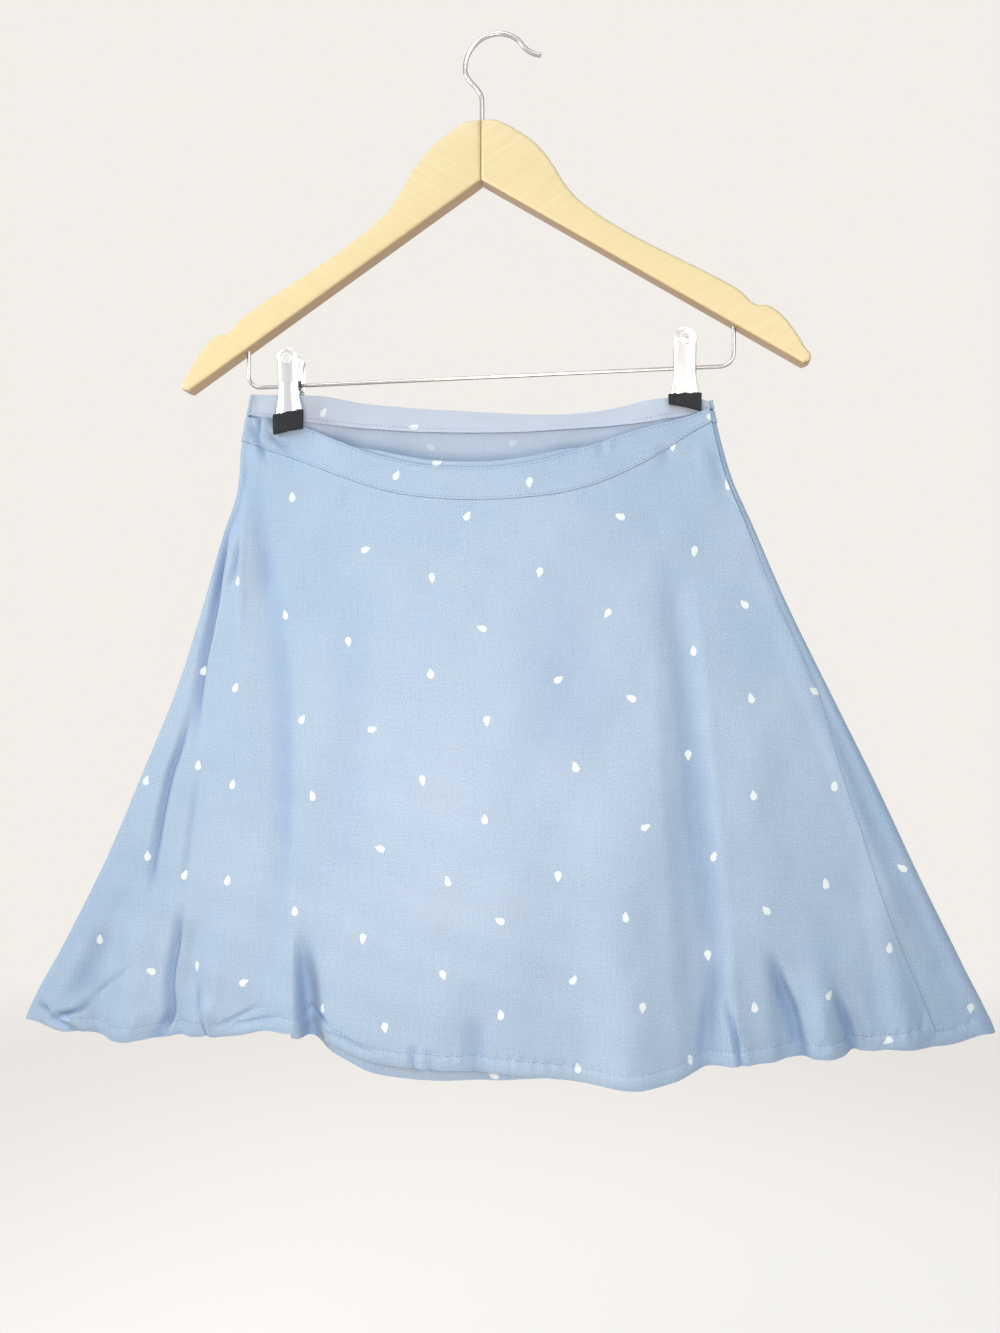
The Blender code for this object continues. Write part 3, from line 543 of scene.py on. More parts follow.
# creases of the back: the same, but the places are the skirt's own x and z
backCreases = (
    (4, -1.8, 0, -150, -262, -140, -318),
    (3.5, 1.4, 0, -141, -258, -128, -300),
    (4, -1.6, 0, 136, -258, 128, -310),
    (4, 1.4, 0, 152, -262, 156, -330),
    (4, -3.4, 0.3, -168, -300, -178, -380, -196, -470, -214, -560, -222, -640),
    (9, -1, 0, -60, -300, -70, -460),
    (10, 1, 0, 34, -290, 44, -480),
    (8, -1.1, 0, 96, -300, 120, -520),
    (5, -2.8, -0.3, 164, -330, 182, -430, 204, -540, 218, -640),
    (5, -2.6, 0.3, -244, -560, -262, -630, -284, -730),
    (2.4, -2, 0, -206, -640, -212, -680, -214, -740),
    (7, 1.4, 0, -30, -560, -40, -712),
    (5, -2.4, -0.3, 56, -560, 62, -640, 68, -740),
    (2.4, -2.2, 0.2, 92, -650, 96, -690, 98, -740),
    (5, 1.6, 0, 150, -600, 166, -704),
    (4, -3, 0.3, 252, -590, 272, -650, 292, -730),
    (2.2, -2.2, 0, -290, -676, -302, -690, -316, -696),
    (1.8, -2, 0, -120, -700, -100, -694, -84, -684),
)


def ease(t):
    t = np.clip(t, 0.0, 1.0)
    return t * t * (3 - 2 * t)


def between(start, stop, share):
    return start + (stop - start) * share


def curveThrough(rows, at, value=1):
    # a smooth curve through two columns of a table, read at many places at once
    table = np.array(rows, float)
    table = table[np.argsort(table[:, 0])]
    places = table[:, 0]
    values = table[:, value]
    slopes = np.empty_like(values)
    slopes[1:-1] = (values[2:] - values[:-2]) / (places[2:] - places[:-2])
    slopes[0] = (values[1] - values[0]) / (places[1] - places[0])
    slopes[-1] = (values[-1] - values[-2]) / (places[-1] - places[-2])
    at = np.clip(at, places[0], places[-1])
    i = np.clip(np.searchsorted(places, at, side="right") - 1, 0, len(places) - 2)
    span = places[i + 1] - places[i]
    t = (at - places[i]) / span
    bendIn = (t ** 3 - 2 * t ** 2 + t) * span * slopes[i]
    bendOut = (t ** 3 - t ** 2) * span * slopes[i + 1]
    return values[i] * (1 - ease(t)) + values[i + 1] * ease(t) + bendIn + bendOut


def edgeHeight(name, station):
    return curveThrough(edges[name], np.clip(station, -1.0, 1.0))


def foldHeight(rows, x, z):
    total = np.zeros_like(x)
    fade = skirtForm["foldFade"]
    for topX, topZ, topWidth, topHeight, footX, footZ, footWidth, footHeight in rows:
        t = (topZ - z) / (topZ - footZ)
        across = np.abs(x - between(topX, footX, t)) / np.maximum(between(topWidth, footWidth, t), 0.1)
        height = between(topHeight, footHeight, t) * ease(t / fade) * ease((1 - t) / fade)
        total += np.where(across < 1, height * np.cos(np.minimum(across, 1) * math.pi / 2) ** 2, 0.0)
    return total


def creaseRun(row):
    # a crease's places, smoothed into short steps
    places = np.array(row[3:], float).reshape(-1, 2)
    reach = np.concatenate(([0.0], np.cumsum(np.hypot(*np.diff(places, axis=0).T))))
    at = np.linspace(0.0, reach[-1], 2 * len(places))
    across, down = (curveThrough(np.column_stack((reach, places[:, k])), at) for k in (0, 1))
    return row[0], row[1], row[2], np.column_stack((across, down))


def creaseHeight(runs, x, z):
    # a crease runs out at both ends and is sharper than a fold
    total = np.zeros_like(x)
    fade = skirtForm["creaseFade"]
    for width, height, lean, places in runs:
        nearest = np.full_like(x, 1e6)
        away = np.zeros_like(x)
        along = np.zeros_like(x)
        reach = 0.0
        for place, step in zip(places, np.diff(places, axis=0)):
            length = np.hypot(*step)
            t = np.clip(((x - place[0]) * step[0] + (z - place[1]) * step[1]) / length ** 2, 0, 1)
            gapX = x - place[0] - t * step[0]
            gapZ = z - place[1] - t * step[1]
            gap = np.hypot(gapX, gapZ)
            closer = gap < nearest
            away = np.where(closer, np.sign(gapZ * step[0] - gapX * step[1]) * gap, away)
            along = np.where(closer, reach + t * length, along)
            nearest = np.where(closer, gap, nearest)
            reach += length
        share = nearest / (width * (1 + np.sign(away) * lean))
        profile = np.maximum(1 - share / 2, 0.0) ** 2 * (1 + share)
        t = along / reach
        total += height * profile * ease(t / fade) * ease((1 - t) / fade)
    return total


def softUnevenness(x, z, seed):
    # cloth is never quite flat: a few long shallow waves that don't line up
    total = np.zeros_like(x)
    for k, (stepX, stepZ, height) in enumerate(skirtForm["waves"]):
        total += height * np.sin(2 * math.pi * (x / stepX + z / stepZ) + seed * (k + 1.7))
    return total


def gripped(y, rows, x, z, layer, station):
    for gripX, gripZ, reachX, reachZ, depth in rows:
        away = np.hypot((x - gripX) / reachX, (z - gripZ) / reachZ)
        hold = ease(2 - 2 * away) * ease((1 - np.abs(station)) * grips["sideFade"])
        y = y + (depth - layer - y) * hold
    return y


def skirtPoints(face, station, z, layer, detail=None):
    # points of the skirt in metres, their places on the cloth in millimetres, and their own x
    facing = "front" if face < 0 else "back"
    centre, half, end, bow = (curveThrough(skirtForm["sections"], z, column)
                              for column in (1, 2, 3, 4 if face < 0 else 5))
    side = np.where(station < 0, -1.0, 1.0)
    turn = np.maximum(np.abs(station) - 1.0, 0.0) * math.pi / 2
    flat = np.minimum(np.abs(station), 1.0) * (half - end)
    x = centre + side * (flat + end * np.sin(turn))
    cloth = np.stack((side * (flat + end * turn), z), axis=1)
    lift = (bow - end) * np.clip(1 - station ** 2, 0, None) ** skirtForm["bowPower"]
    lift = lift + foldHeight(folds[facing], x, z) * ease((1 - np.abs(station)) * skirtForm["foldSideFade"])
    y = end * np.cos(turn) + np.where(turn == 0.0, lift + layer, 0.0)
    y = gripped(y * face, grips[facing], x, z, layer if face < 0 else 0.0, station)
    if detail is not None:
        y = y + face * detail(x, z) * ease((1 - np.abs(station)) * skirtForm["creaseSideFade"])
    twist = (skirtForm["twistTop"] - z) / (skirtForm["twistTop"] - skirtForm["twistFoot"])
    twist = np.radians(skirtForm["twist"]) * np.clip(twist, 0.0, 1.0)
    turnedX = skirtForm["middleX"] + x * np.cos(twist) - y * np.sin(twist)
    turnedY = x * np.sin(twist) + y * np.cos(twist)
    return np.stack((turnedX, turnedY, z), axis=1) * mm, cloth, x


def fromPicture(across, down):
    # the place on the skirt's front, in its own x and z, that shows at a place in the picture
    across = np.array(across, float)
    down = np.array(down, float)
    scale = skirtForm["pictureScale"]
    station = np.zeros_like(across)
    z = -scale * down
    for attempt in range(12):
        points, cloth, x = skirtPoints(-1, station, z, skirtForm["layerStep"])
        seenX, seenY = pictureOf(points)
        half = curveThrough(skirtForm["sections"], z, 2)
        station = np.clip(station + (across - seenX) * scale / half, -1, 1)
        z = z - (down - seenY) * scale
    return x, z


def creasesFromPicture(rows):
    runs = []
    for row in rows:
        x, z = fromPicture(row[3::2], row[4::2])
        runs.append(creaseRun(row[:3] + tuple(np.column_stack((x, z)).ravel())))
    return runs


creaseRuns = {"front": creasesFromPicture(frontCreases), "back": [creaseRun(row) for row in backCreases]}


def frontDetail(x, z):
    return creaseHeight(creaseRuns["front"], x, z) + softUnevenness(x, z, 1.0)


def backDetail(x, z):
    return creaseHeight(creaseRuns["back"], x, z) + softUnevenness(x, z, 4.0)


# ---- cloth pieces ----

def overLayer(station, z):
    # how far the over flap and its band stand in front of the layer beneath
    start, stop = skirtForm["looseFrom"]
    loose = ease((start - z) / (start - stop))
    down = np.clip((stop - z) / (stop - skirtForm["twistFoot"]), 0, 1)
    edgeStart, edgeReach = skirtForm["edgeFrom"]
    edgeward = ease((station - edgeStart) / edgeReach)
    lower = between(skirtForm["looseStep"], skirtForm["hemStep"], down)
    lower = between(lower, between(*skirtForm["edgeStep"], down), edgeward)
    middle, reach, more, steep, gapStart = skirtForm["hemGap"]
    near = ease(steep - steep * np.abs(station - middle) / reach)
    lower = lower + more * near * ease((down - gapStart) / (1 - gapStart))
    return between(skirtForm["layerStep"], lower, loose) * ease((station + 1.0) / skirtForm["sideReach"])


def squeezed(station, name, z):
    # a flap's stations past its split are drawn in, so that the last one lies at the free edge
    split, free = edges[name + "Split"], curveThrough(edges[name + "Free"], z)
    edge = np.where(free < split, -1.0, 1.0)
    moved = split + (station - split) * (free - split) / (edge - split)
    return np.where(((station - split) * edge > 0) & (np.abs(station) <= 1), moved, station)


def heldBack(station, z):
    # the last column at a side fold stops short of the neighbour's
    end = curveThrough(skirtForm["sections"], z, 3)
    hold = skirtForm["seamHold"] / end / (math.pi / 2)
    return np.where(np.abs(station) >= 2.0, np.sign(station) * (2.0 - hold), station)


def underBandTop(station):
    near = np.clip(1 - (station / edges["underBandReach"]) ** 2, 0, None)
    lift = edges["underBandRise"] * ease(near * edges["underBandSpeed"])
    return edgeHeight("frontBandTop", station) + lift - edges["underBandDrop"] * (1 - ease(near))


def underBandFoot(station):
    return edgeHeight("frontBandFoot", station) + edges["underBandDrop"] * ease(1 - np.abs(station))


bandForm = {
    "frontGap": 0.2,
    "backGap": -0.5,        # with a minus the panel's edge lies inside the waistband's fold
    "proud": 2.4,           # how far the back waistband's lower edge stands in front of its panel
    "panelProud": 0.65,     # the share of it by which the panel's upper edge follows
    "panelReach": 14.0,
}


def overPiece(top, foot, station, down):
    z = between(top, foot, down)
    place = heldBack(squeezed(station, "over", z), z)
    return -1, place, z, overLayer(place, z)


def overBand(station, down):
    return overPiece(edgeHeight("frontBandTop", station), edgeHeight("frontBandFoot", station), station, down)


def overFlap(station, down):
    top = edgeHeight("frontBandFoot", station) - bandForm["frontGap"]
    return overPiece(top, edgeHeight("overHem", station), station, down)


def underBand(station, down):
    z = between(underBandTop(station), underBandFoot(station), down)
    return -1, heldBack(station, z), z, 0.0


def underFlap(station, down):
    top = underBandFoot(squeezed(station, "under", skirtForm["twistTop"])) - bandForm["frontGap"]
    foot = edgeHeight("underHem", squeezed(station, "under", skirtForm["twistFoot"]))
    z = between(top, foot, down)
    return -1, heldBack(squeezed(station, "under", z), z), z, 0.0


def backBand(station, down):
    z = between(edgeHeight("backBandTop", station), edgeHeight("backBandFoot", station), down)
    return 1, heldBack(station, z), z, -bandForm["proud"] * ease(down * 2 - 1)


def backPanel(station, down):
    top = edgeHeight("backBandFoot", station) - bandForm["backGap"]
    z = between(top, edgeHeight("backHem", station), down)
    near = ease(1 - (top - z) / bandForm["panelReach"])
    return 1, heldBack(station, z), z, -bandForm["panelProud"] * bandForm["proud"] * near


hemForm = {
    "depth": 10.0,
    "stitchSink": 0.50,         # how far the stitch line lies in
    "stitchReach": 1.3,
    "puff": 0.30,               # how far the turned-up cloth stands out
    "puckerHeight": 0.65,
    "puckerPitch": 8.5,
    "puckerReach": 4.5,
    "puckerDrift": (1.6, 23.0),     # how much its pitch wanders, and over what length
    "puckerFading": 41.0,
    "tuck": 1.1,                # how far the very edge rolls under
    "tuckHeight": 3.6,
    "tuckWave": (0.25, 17.0),
}


def hemLift(x, above):
    # the turned-up hem: a soft roll below the stitch line, and small puckers along it
    depth = hemForm["depth"]
    roll = hemForm["puff"] * np.sin(np.clip(above / depth, 0, 1) * math.pi) ** 2
    sink = -hemForm["stitchSink"] * np.exp(-((above - depth) / hemForm["stitchReach"]) ** 2)
    wander, length = hemForm["puckerDrift"]
    wave = np.sin(2 * math.pi * x / hemForm["puckerPitch"] + wander * np.sin(x / length))
    amount = 0.5 + 0.5 * np.sin(x / hemForm["puckerFading"] + 1.0)
    near = np.exp(-((above - depth) / hemForm["puckerReach"]) ** 2)
    pucker = hemForm["puckerHeight"] * wave * amount * near
    tuck = hemForm["tuck"] * np.clip(1 - above / hemForm["tuckHeight"], 0, 1) ** 2
    share, length = hemForm["tuckWave"]
    return roll + sink + pucker - tuck * (1 - share + share * np.sin(x / length))


def spread(*stretches):
    # evenly spaced values over each stretch: (start, stop, steps)
    values = []
    for start, stop, steps in stretches:
        values += [start + (stop - start) * i / steps for i in range(steps)]
    return np.array(values + [stretches[-1][1]])


leftTurn, rightTurn = (-2, -1, 7), (1, 2, 7)
hemRows = spread((0.0, 0.03, 5), (0.03, 0.7, 54), (0.7, 0.955, 36), (0.955, 1.0, 12))
clothPieces = {
    "over_flap": {
        "shape": overFlap, "stations": spread(leftTurn, (-1, -0.33, 190), (-0.33, 1, 190)),
        "rows": hemRows, "detail": frontDetail, "hem": True, "wall": 0.9, "drops": "over",
        "inside": wrongSide,
    },
    "under_flap": {
        "shape": underFlap, "stations": spread((-1, 1, 240), rightTurn),
        "rows": hemRows, "detail": frontDetail, "hem": True, "wall": 0.9, "drops": "under",
        "inside": wrongSide,
    },
    "back_panel": {
        "shape": backPanel, "stations": spread(leftTurn, (-1, 1, 240), rightTurn),
        "rows": spread((0.0, 0.955, 84), (0.955, 1.0, 8)), "detail": backDetail, "hem": True, "wall": 0.9,
        "drops": "back", "inside": wrongSide,
    },
    "waistband_over": {
        "shape": overBand, "stations": spread(leftTurn, (-1, -0.8, 34), (-0.8, 1, 150)),
        "rows": spread((0, 1, 14)), "detail": frontDetail, "hem": False, "wall": 1.5, "drops": "overBand",
        "inside": rightSide,
    },
    "waistband_under": {
        "shape": underBand, "stations": spread((-0.92, 1, 150), rightTurn),
        "rows": spread((0, 1, 14)), "detail": frontDetail, "hem": False, "wall": 1.5, "drops": "underBand",
        "inside": rightSide,
    },
    "waistband_back": {
        "shape": backBand, "stations": spread(leftTurn, (-1, 1, 150), rightTurn),
        "rows": spread((0, 1, 10)), "detail": backDetail, "hem": False, "wall": 1.9, "drops": "backBand",
        "inside": bandInsidePaintedLight,
    },
}

# where the printed drops show in the picture: across, down, and how far the tip turns from up
dropChart = {
    "over": (
        (293, 496, 5), (467, 517, -25), (621, 518, 60), (365, 551, -70), (694, 547, 175),
        (432, 580, 190), (539, 573, 170), (286, 613, 10), (607, 611, 150), (348, 642, 190),
        (483, 626, 70), (692, 648, 0), (745, 603, 50), (430, 677, 10), (558, 682, -60),
        (302, 717, -30), (371, 730, -80), (488, 721, 180), (632, 701, 60), (751, 701, 15),
        (817, 693, 60), (575, 766, 20), (689, 751, 180), (233, 782, -10), (312, 797, 10),
        (423, 779, 190), (486, 817, 0), (754, 797, 10), (833, 784, 0), (645, 824, -60),
        (228, 881, -15), (380, 849, 70), (448, 879, 20), (557, 875, 180), (715, 856, -20),
        (825, 884, 10), (295, 910, 0), (363, 938, 175), (500, 923, 65), (627, 916, 10),
        (767, 911, 40), (443, 975, 200), (572, 982, -35), (707, 953, 185), (890, 949, 0),
        (384, 1027, 185), (499, 1017, 0), (642, 1006, 180), (755, 1009, 5), (828, 997, -45),
        (579, 1068, 0), (689, 1059, 190), (889, 1041, 130), (236, 685, -20), (205, 670, -10),
        (238, 582, 0), (198, 769, 0), (147, 778, -15), (147, 856, 0), (185, 876, -20),
        (100, 941, 0), (151, 970, 70), (198, 964, 180), (243, 984, -60), (324, 1008, -20),
        (672, 445, 180), (730, 488, 10),
    ),
    "under": ((902, 868, 60), (970, 1006, 180), (328, 1037, -30), (493, 1077, 80)),
    "overBand": ((395, 477, -30), (530, 482, 175), (712, 415, -30)),
    "underBand": ((435, 463, -80),),
    "backBand": ((325, 412, -25), (415, 427, 90)),
}
# where no drop shows, they are tossed at this spacing
dropToss = {
    "pieces": ("under", "back", "underBand"),
    "across": 47.0,
    "down": 52.0,
    "stray": 15.0,
    "clear": 34.0,
}


def tossedDrops(box, keepOff, seed):
    # an uneven toss of drops over a box of the cloth, clear of those that are charted
    luck = np.random.default_rng(seed)
    left, right, foot, top = box
    places = []
    for row in range(int((top - foot) / dropToss["down"]) + 2):
        for column in range(int((right - left) / dropToss["across"]) + 2):
            shift = 0.5 if row % 2 else 0.0
            strayX, strayZ = luck.uniform(-1, 1, 2) * dropToss["stray"]
            x = left + (column + shift) * dropToss["across"] + strayX
            z = foot + row * dropToss["down"] + strayZ
            turn = luck.uniform(-80, 80) + (180 if luck.random() < 0.5 else 0)
            if all(math.hypot(x - px, z - pz) > dropToss["clear"] for px, pz, other in keepOff):
                places.append((x, z, turn))
    return places


def dropPlaces(name, points, cloth):
    # each drop's place on this piece, as the cloth's own x and z, and its turn
    found = []
    seenX, seenY = pictureOf(points)
    for across, down, turn in dropChart.get(name, ()):
        nearest = np.argmin((seenX - across) ** 2 + (seenY - down) ** 2)
        found.append((cloth[nearest, 0], cloth[nearest, 1], turn))
    if name in dropToss["pieces"]:
        box = (cloth[:, 0].min(), cloth[:, 0].max(), cloth[:, 1].min(), cloth[:, 1].max())
        found += tossedDrops(box, found, len(name))
    return np.array(found)


def dropFrames(places, points, cloth):
    # each drop is drawn flat on the cloth where it lies: its middle, and its right and up there
    starts = ((cloth[:, None, :] - places[None, :, :]) ** 2).sum(axis=2).argmin(axis=0)
    order = np.argsort(((cloth[:, None, :] - cloth[starts][None, :, :]) ** 2).sum(axis=2), axis=0)[:40]
    frames = []
    for place, near in zip(places, order.T):
        table = np.column_stack((cloth[near] - place, np.ones(len(near))))
        right, up, middle = np.linalg.lstsq(table, points[near] / mm, rcond=None)[0]
        right = right / np.linalg.norm(right)
        up = up - right * up.dot(right)
        frames.append((middle, right, up / np.linalg.norm(up)))
    return np.array(frames).transpose(1, 0, 2)


def writeMaps(mesh, points, cloth, drops):
    # clothMap is the cloth's own x and z; dropMap is each corner's place from its nearest drop
    corners = np.empty(len(mesh.loops), int)
    mesh.loops.foreach_get("vertex_index", corners)
    clothMap = mesh.uv_layers.new(name="clothMap")
    clothMap.data.foreach_set("uv", (cloth[corners] * mm).ravel())
    places = drops[:, :2]
    faceMiddles = cloth[corners.reshape(-1, 4)].mean(axis=1)
    gaps = ((faceMiddles[:, None, :] - places[None, :, :]) ** 2).sum(axis=2)
    nearest = np.repeat(gaps.argmin(axis=1), 4)
    middles, rights, ups = dropFrames(places, points, cloth)
    away = points[corners] / mm - middles[nearest]
    across = (away * rights[nearest]).sum(axis=1)
    upward = (away * ups[nearest]).sum(axis=1)
    turn = np.radians(drops[nearest, 2])
    turnedX = across * np.cos(turn) + upward * np.sin(turn)
    turnedY = -across * np.sin(turn) + upward * np.cos(turn)
    dropMap = mesh.uv_layers.new(name="dropMap")
    dropMap.data.foreach_set("uv", (np.stack((turnedX, turnedY), axis=1) * mm).ravel())


def newGrid(name, columns, rows):
    # a grid of faces, and its corners' places from -0.5 to 0.5
    bpy.ops.mesh.primitive_grid_add(x_subdivisions=columns, y_subdivisions=rows, size=1.0)
    piece = bpy.context.object
    piece.name = name
    return piece, np.array([vertex.co for vertex in piece.data.vertices])


def applied(piece, kind, **settings):
    # a modifier, set and applied at once
    bpy.context.view_layer.objects.active = piece
    modifier = piece.modifiers.new("shaping", kind)
    for name, value in settings.items():
        setattr(modifier, name, value)
    bpy.ops.object.modifier_apply(modifier=modifier.name)


def smoothUpTo(degrees):
    bpy.ops.object.shade_smooth_by_angle(angle=math.radians(degrees))


def withHem(detail, above):
    return lambda x, z: detail(x, z) + hemLift(x, above)


def makeClothPiece(name, plan):
    stations, rows, detail = plan["stations"], plan["rows"], plan["detail"]
    piece, flat = newGrid(name + "_cloth", len(stations) - 1, len(rows) - 1)
    mesh = piece.data
    while mesh.uv_layers:
        mesh.uv_layers.remove(mesh.uv_layers[0])
    station = stations[np.rint((flat[:, 0] + 0.5) * (len(stations) - 1)).astype(int)]
    down = rows[np.rint((0.5 - flat[:, 1]) * (len(rows) - 1)).astype(int)]
    face, place, z, layer = plan["shape"](station, down)
    if plan["hem"]:
        # the hem is turned up, so it is twice as thick as the rest
        above = z - plan["shape"](station, np.ones_like(down))[2]
        detail = withHem(detail, above)
        group = piece.vertex_groups.new(name="wallShare")
        share = np.where(above < hemForm["depth"] + 0.5, 1.0, 0.5)
        for weight in (0.5, 1.0):
            group.add([int(i) for i in np.nonzero(share == weight)[0]], weight, "REPLACE")
    points, cloth, x = skirtPoints(face, place, z, layer, detail)
    mesh.vertices.foreach_set("co", points.ravel())
    writeMaps(mesh, points, cloth, dropPlaces(plan["drops"], points, cloth))
    # painted shade: the deeper a crease's valley, the darker the cloth there
    valleyShade = -creaseHeight(creaseRuns["front" if face < 0 else "back"], x, z) / clothLook["creaseShadeFull"]
    paintedCreaseShade = mesh.attributes.new("paintedCreaseShade", "FLOAT", "POINT")
    paintedCreaseShade.data.foreach_set("value", np.clip(valleyShade, 0, 1))
    if face > 0:
        mesh.flip_normals()
    mesh.materials.append(rightSide)
    mesh.materials.append(plan["inside"])
    applied(piece, "SOLIDIFY", thickness=plan["wall"] * mm, offset=0.0, use_even_offset=True,
            material_offset=1, vertex_group="wallShare" if plan["hem"] else "")
    if not plan["hem"]:
        applied(piece, "BEVEL", width=plan["wall"] * 0.32 * mm, segments=3, limit_method="ANGLE",
                angle_limit=math.radians(60))
    smoothUpTo(50)
    piece.select_set(False)
    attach(piece, "root")
    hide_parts(name)
    return piece


clothObjects = {name: makeClothPiece(name, plan) for name, plan in clothPieces.items()}
print("cloth pieces made:", {name: len(piece.data.polygons) for name, piece in clothObjects.items()})


# ---- stitches ----

stitch = {
    "length": 2.2,
    "pitch": 3.1,
    "slant": 0.08,          # how much the threads turn and how their length varies, by chance
    "vary": 0.1,
    "width": 0.48,
    "height": 0.42,
    "inset": 0.05,
    "hemLift": 0.50,        # how far the threads stand out from the middle of the wall
    "bandLift": 0.75,
    "backLift": 0.95,
    "bandMargin": 1.6,      # from the band's edge
    "backMargin": 3.0,
}


def stitchShape():
    bpy.ops.mesh.primitive_uv_sphere_add(segments=6, ring_count=5, radius=0.5)
    shape = bpy.context.object
    bpy.ops.object.mode_set(mode="EDIT")
    bpy.ops.transform.rotate(value=math.pi / 2, orient_axis="Y", center_override=(0, 0, 0))
    bpy.ops.object.mode_set(mode="OBJECT")
    places = np.array([vertex.co for vertex in shape.data.vertices])
    faces = [tuple(polygon.vertices) for polygon in shape.data.polygons]
    bpy.data.objects.remove(shape)
    return places, faces


stitchPlaces, stitchFaces = stitchShape()


def seamLine(shape, detail, station, down, lift):
    # a line on a cloth piece's outer side, and which way that side faces
    face, place, z, layer = shape(station, down)
    line = skirtPoints(face, place, z, layer, detail)[0]
    beside = skirtPoints(face, place, z + 1.0, layer, detail)[0]
    along = np.gradient(line, axis=0)
    out = np.cross(along, beside - line) * -face
    out /= np.linalg.norm(out, axis=1)[:, None]
    out *= np.where(out[:, 1:2] * face < 0, -1.0, 1.0)
    return line + out * lift * mm, out


def makeStitches(name, lines, seed):
    # one mesh of short sunken threads along each line
    luck = np.random.default_rng(seed)
    vertices = []
    faces = []
    for line, out in lines:
        steps = np.linalg.norm(np.diff(line, axis=0), axis=1)
        reach = np.concatenate(([0.0], np.cumsum(steps)))
        for at in np.arange(0.5, reach[-1] / (stitch["pitch"] * mm) - 0.5) * (stitch["pitch"] * mm):
            middle, ahead, normal = (np.array([np.interp(where, reach, rows[:, k]) for k in range(3)])
                                     for where, rows in ((at, line), (at + 0.5 * mm, line), (at, out)))
            along = (ahead - middle) / np.linalg.norm(ahead - middle)
            normal = normal - along * normal.dot(along)
            normal /= np.linalg.norm(normal)
            across = np.cross(normal, along)
            along = along + across * luck.uniform(-stitch["slant"], stitch["slant"])
            length = stitch["length"] * luck.uniform(1 - stitch["vary"], 1 + stitch["vary"])
            size = np.array((length, stitch["width"], stitch["height"])) * mm
            start = len(vertices)
            middle = middle - normal * stitch["inset"] * mm
            for p in stitchPlaces:
                vertices.append(middle + along * p[0] * size[0] + across * p[1] * size[1]
                                + normal * p[2] * size[2])
            faces += [tuple(start + i for i in face) for face in stitchFaces]
    mesh = bpy.data.meshes.new(name)
    mesh.from_pydata([tuple(vertex) for vertex in vertices], [], faces)
    mesh.shade_smooth()
    mesh.materials.append(sewingThread)
    piece = newObject(name, mesh)
    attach(piece, "root")
    return piece


def topAndFoot(shape, station):
    return shape(station, np.zeros_like(station))[2], shape(station, np.ones_like(station))[2]


def hemLine(shape, detail, station):
    top, foot = topAndFoot(shape, station)
    down = 1 - hemForm["depth"] / (top - foot)
    above = shape(station, down)[2] - foot
    return seamLine(shape, withHem(detail, above), station, down, stitch["hemLift"])


def bandLine(shape, detail, station, above, lift=stitch["bandLift"]):
    # above the band's lower edge, or with a minus below its upper edge
    top, foot = topAndFoot(shape, station)
    share = above / (top - foot)
    return seamLine(shape, detail, station, 1 - share if above > 0 else -share, lift)


def turnedIn(line):
    return line[0], -line[1]


flatRun = np.linspace(-0.985, 0.985, 500)
underRun = np.linspace(-0.9, 0.985, 500)
margin = stitch["bandMargin"]
outerLine = bandLine(backBand, backDetail, flatRun, margin, stitch["backLift"])
innerLine = bandLine(backBand, backDetail, flatRun, stitch["backMargin"], -stitch["backLift"])
seams = {
    "over_flap": [hemLine(overFlap, frontDetail, flatRun)],
    "under_flap": [hemLine(underFlap, frontDetail, flatRun)],
    "back_panel": [hemLine(backPanel, backDetail, flatRun)],
    "waistband_over": [bandLine(overBand, frontDetail, flatRun, height) for height in (margin, -margin)],
    "waistband_under": [bandLine(underBand, frontDetail, underRun, margin)],
    "waistband_back": [outerLine, turnedIn(innerLine)],
}
for number, (name, lines) in enumerate(seams.items()):
    makeStitches(name + "_stitches", lines, number)
print("stitches made")


# ---- the hanger ----

hanger = {
    "middleX": -10.3,
    "thick": 14.0,
    "edgeRound": 2.6,
    "reach": 222.0,
    "jointTop": -60.5,
    "jointFoot": -103.0,
    "tipFoot": -241.0,
    "tipIn": 5.0,
    "jointGap": 0.3,
    "boreSlack": 0.2,
    # the upper edge from the joint to the tip: x from the middle, height
    "top": (
        (10, -61.3), (17, -64.2), (26, -70), (36, -77.5), (44, -86), (51, -96), (58, -108),
        (66, -118.5), (78, -129), (94, -140.5), (114, -153), (136, -165.5), (158, -178),
        (176, -189.5), (187, -199.5), (194, -200.5), (203, -207), (211, -217), (217.5, -228),
        (222, -238),
    ),
}
hook = {
    "wire": 3.2,
    "radius": 22.3,
    "start": 188.0,
    "stop": 30.0,
    "seat": 13.0,
    "neck": -56.0,
    "bore": (-3.0, 22.0),       # its middle above the joint, and its length
    "tip": ((25.0, -14.2), (31.0, -16.4)),
    "stem": ((-18.6, -30.2), (-13.8, -35.8), (-10.9, -41.0), (-10.3, -47.0)),
}
bar = {
    "wire": 2.6,
    "z": -238.6,
    "half": 172.5,
    "bend": 9.0,
    "seat": 9.0,
    "bore": (1.0, 17.0),
    "legStep": 8.0,
    "bendStep": 4.0,
    "runStep": 5.0,
}


def takePlace(piece, node, material):
    # a finished piece stands for its node
    piece.data.materials.clear()
    piece.data.materials.append(material)
    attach(piece, "root")
    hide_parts(node)
    return piece


def makeMesh(curveObject):
    # a curve becomes a mesh with its place applied
    bpy.ops.object.select_all(action="DESELECT")
    curveObject.select_set(True)
    bpy.context.view_layer.objects.active = curveObject
    bpy.ops.object.convert(target="MESH")
    piece = bpy.context.object
    bpy.ops.object.transform_apply(location=True, rotation=True, scale=True)
    bpy.ops.object.mode_set(mode="EDIT")
    bpy.ops.mesh.select_all(action="SELECT")
    bpy.ops.mesh.remove_doubles(threshold=0.002 * mm)
    bpy.ops.mesh.normals_make_consistent(inside=False)
    bpy.ops.object.mode_set(mode="OBJECT")
    smoothUpTo(35)
    piece.select_set(False)
    return piece


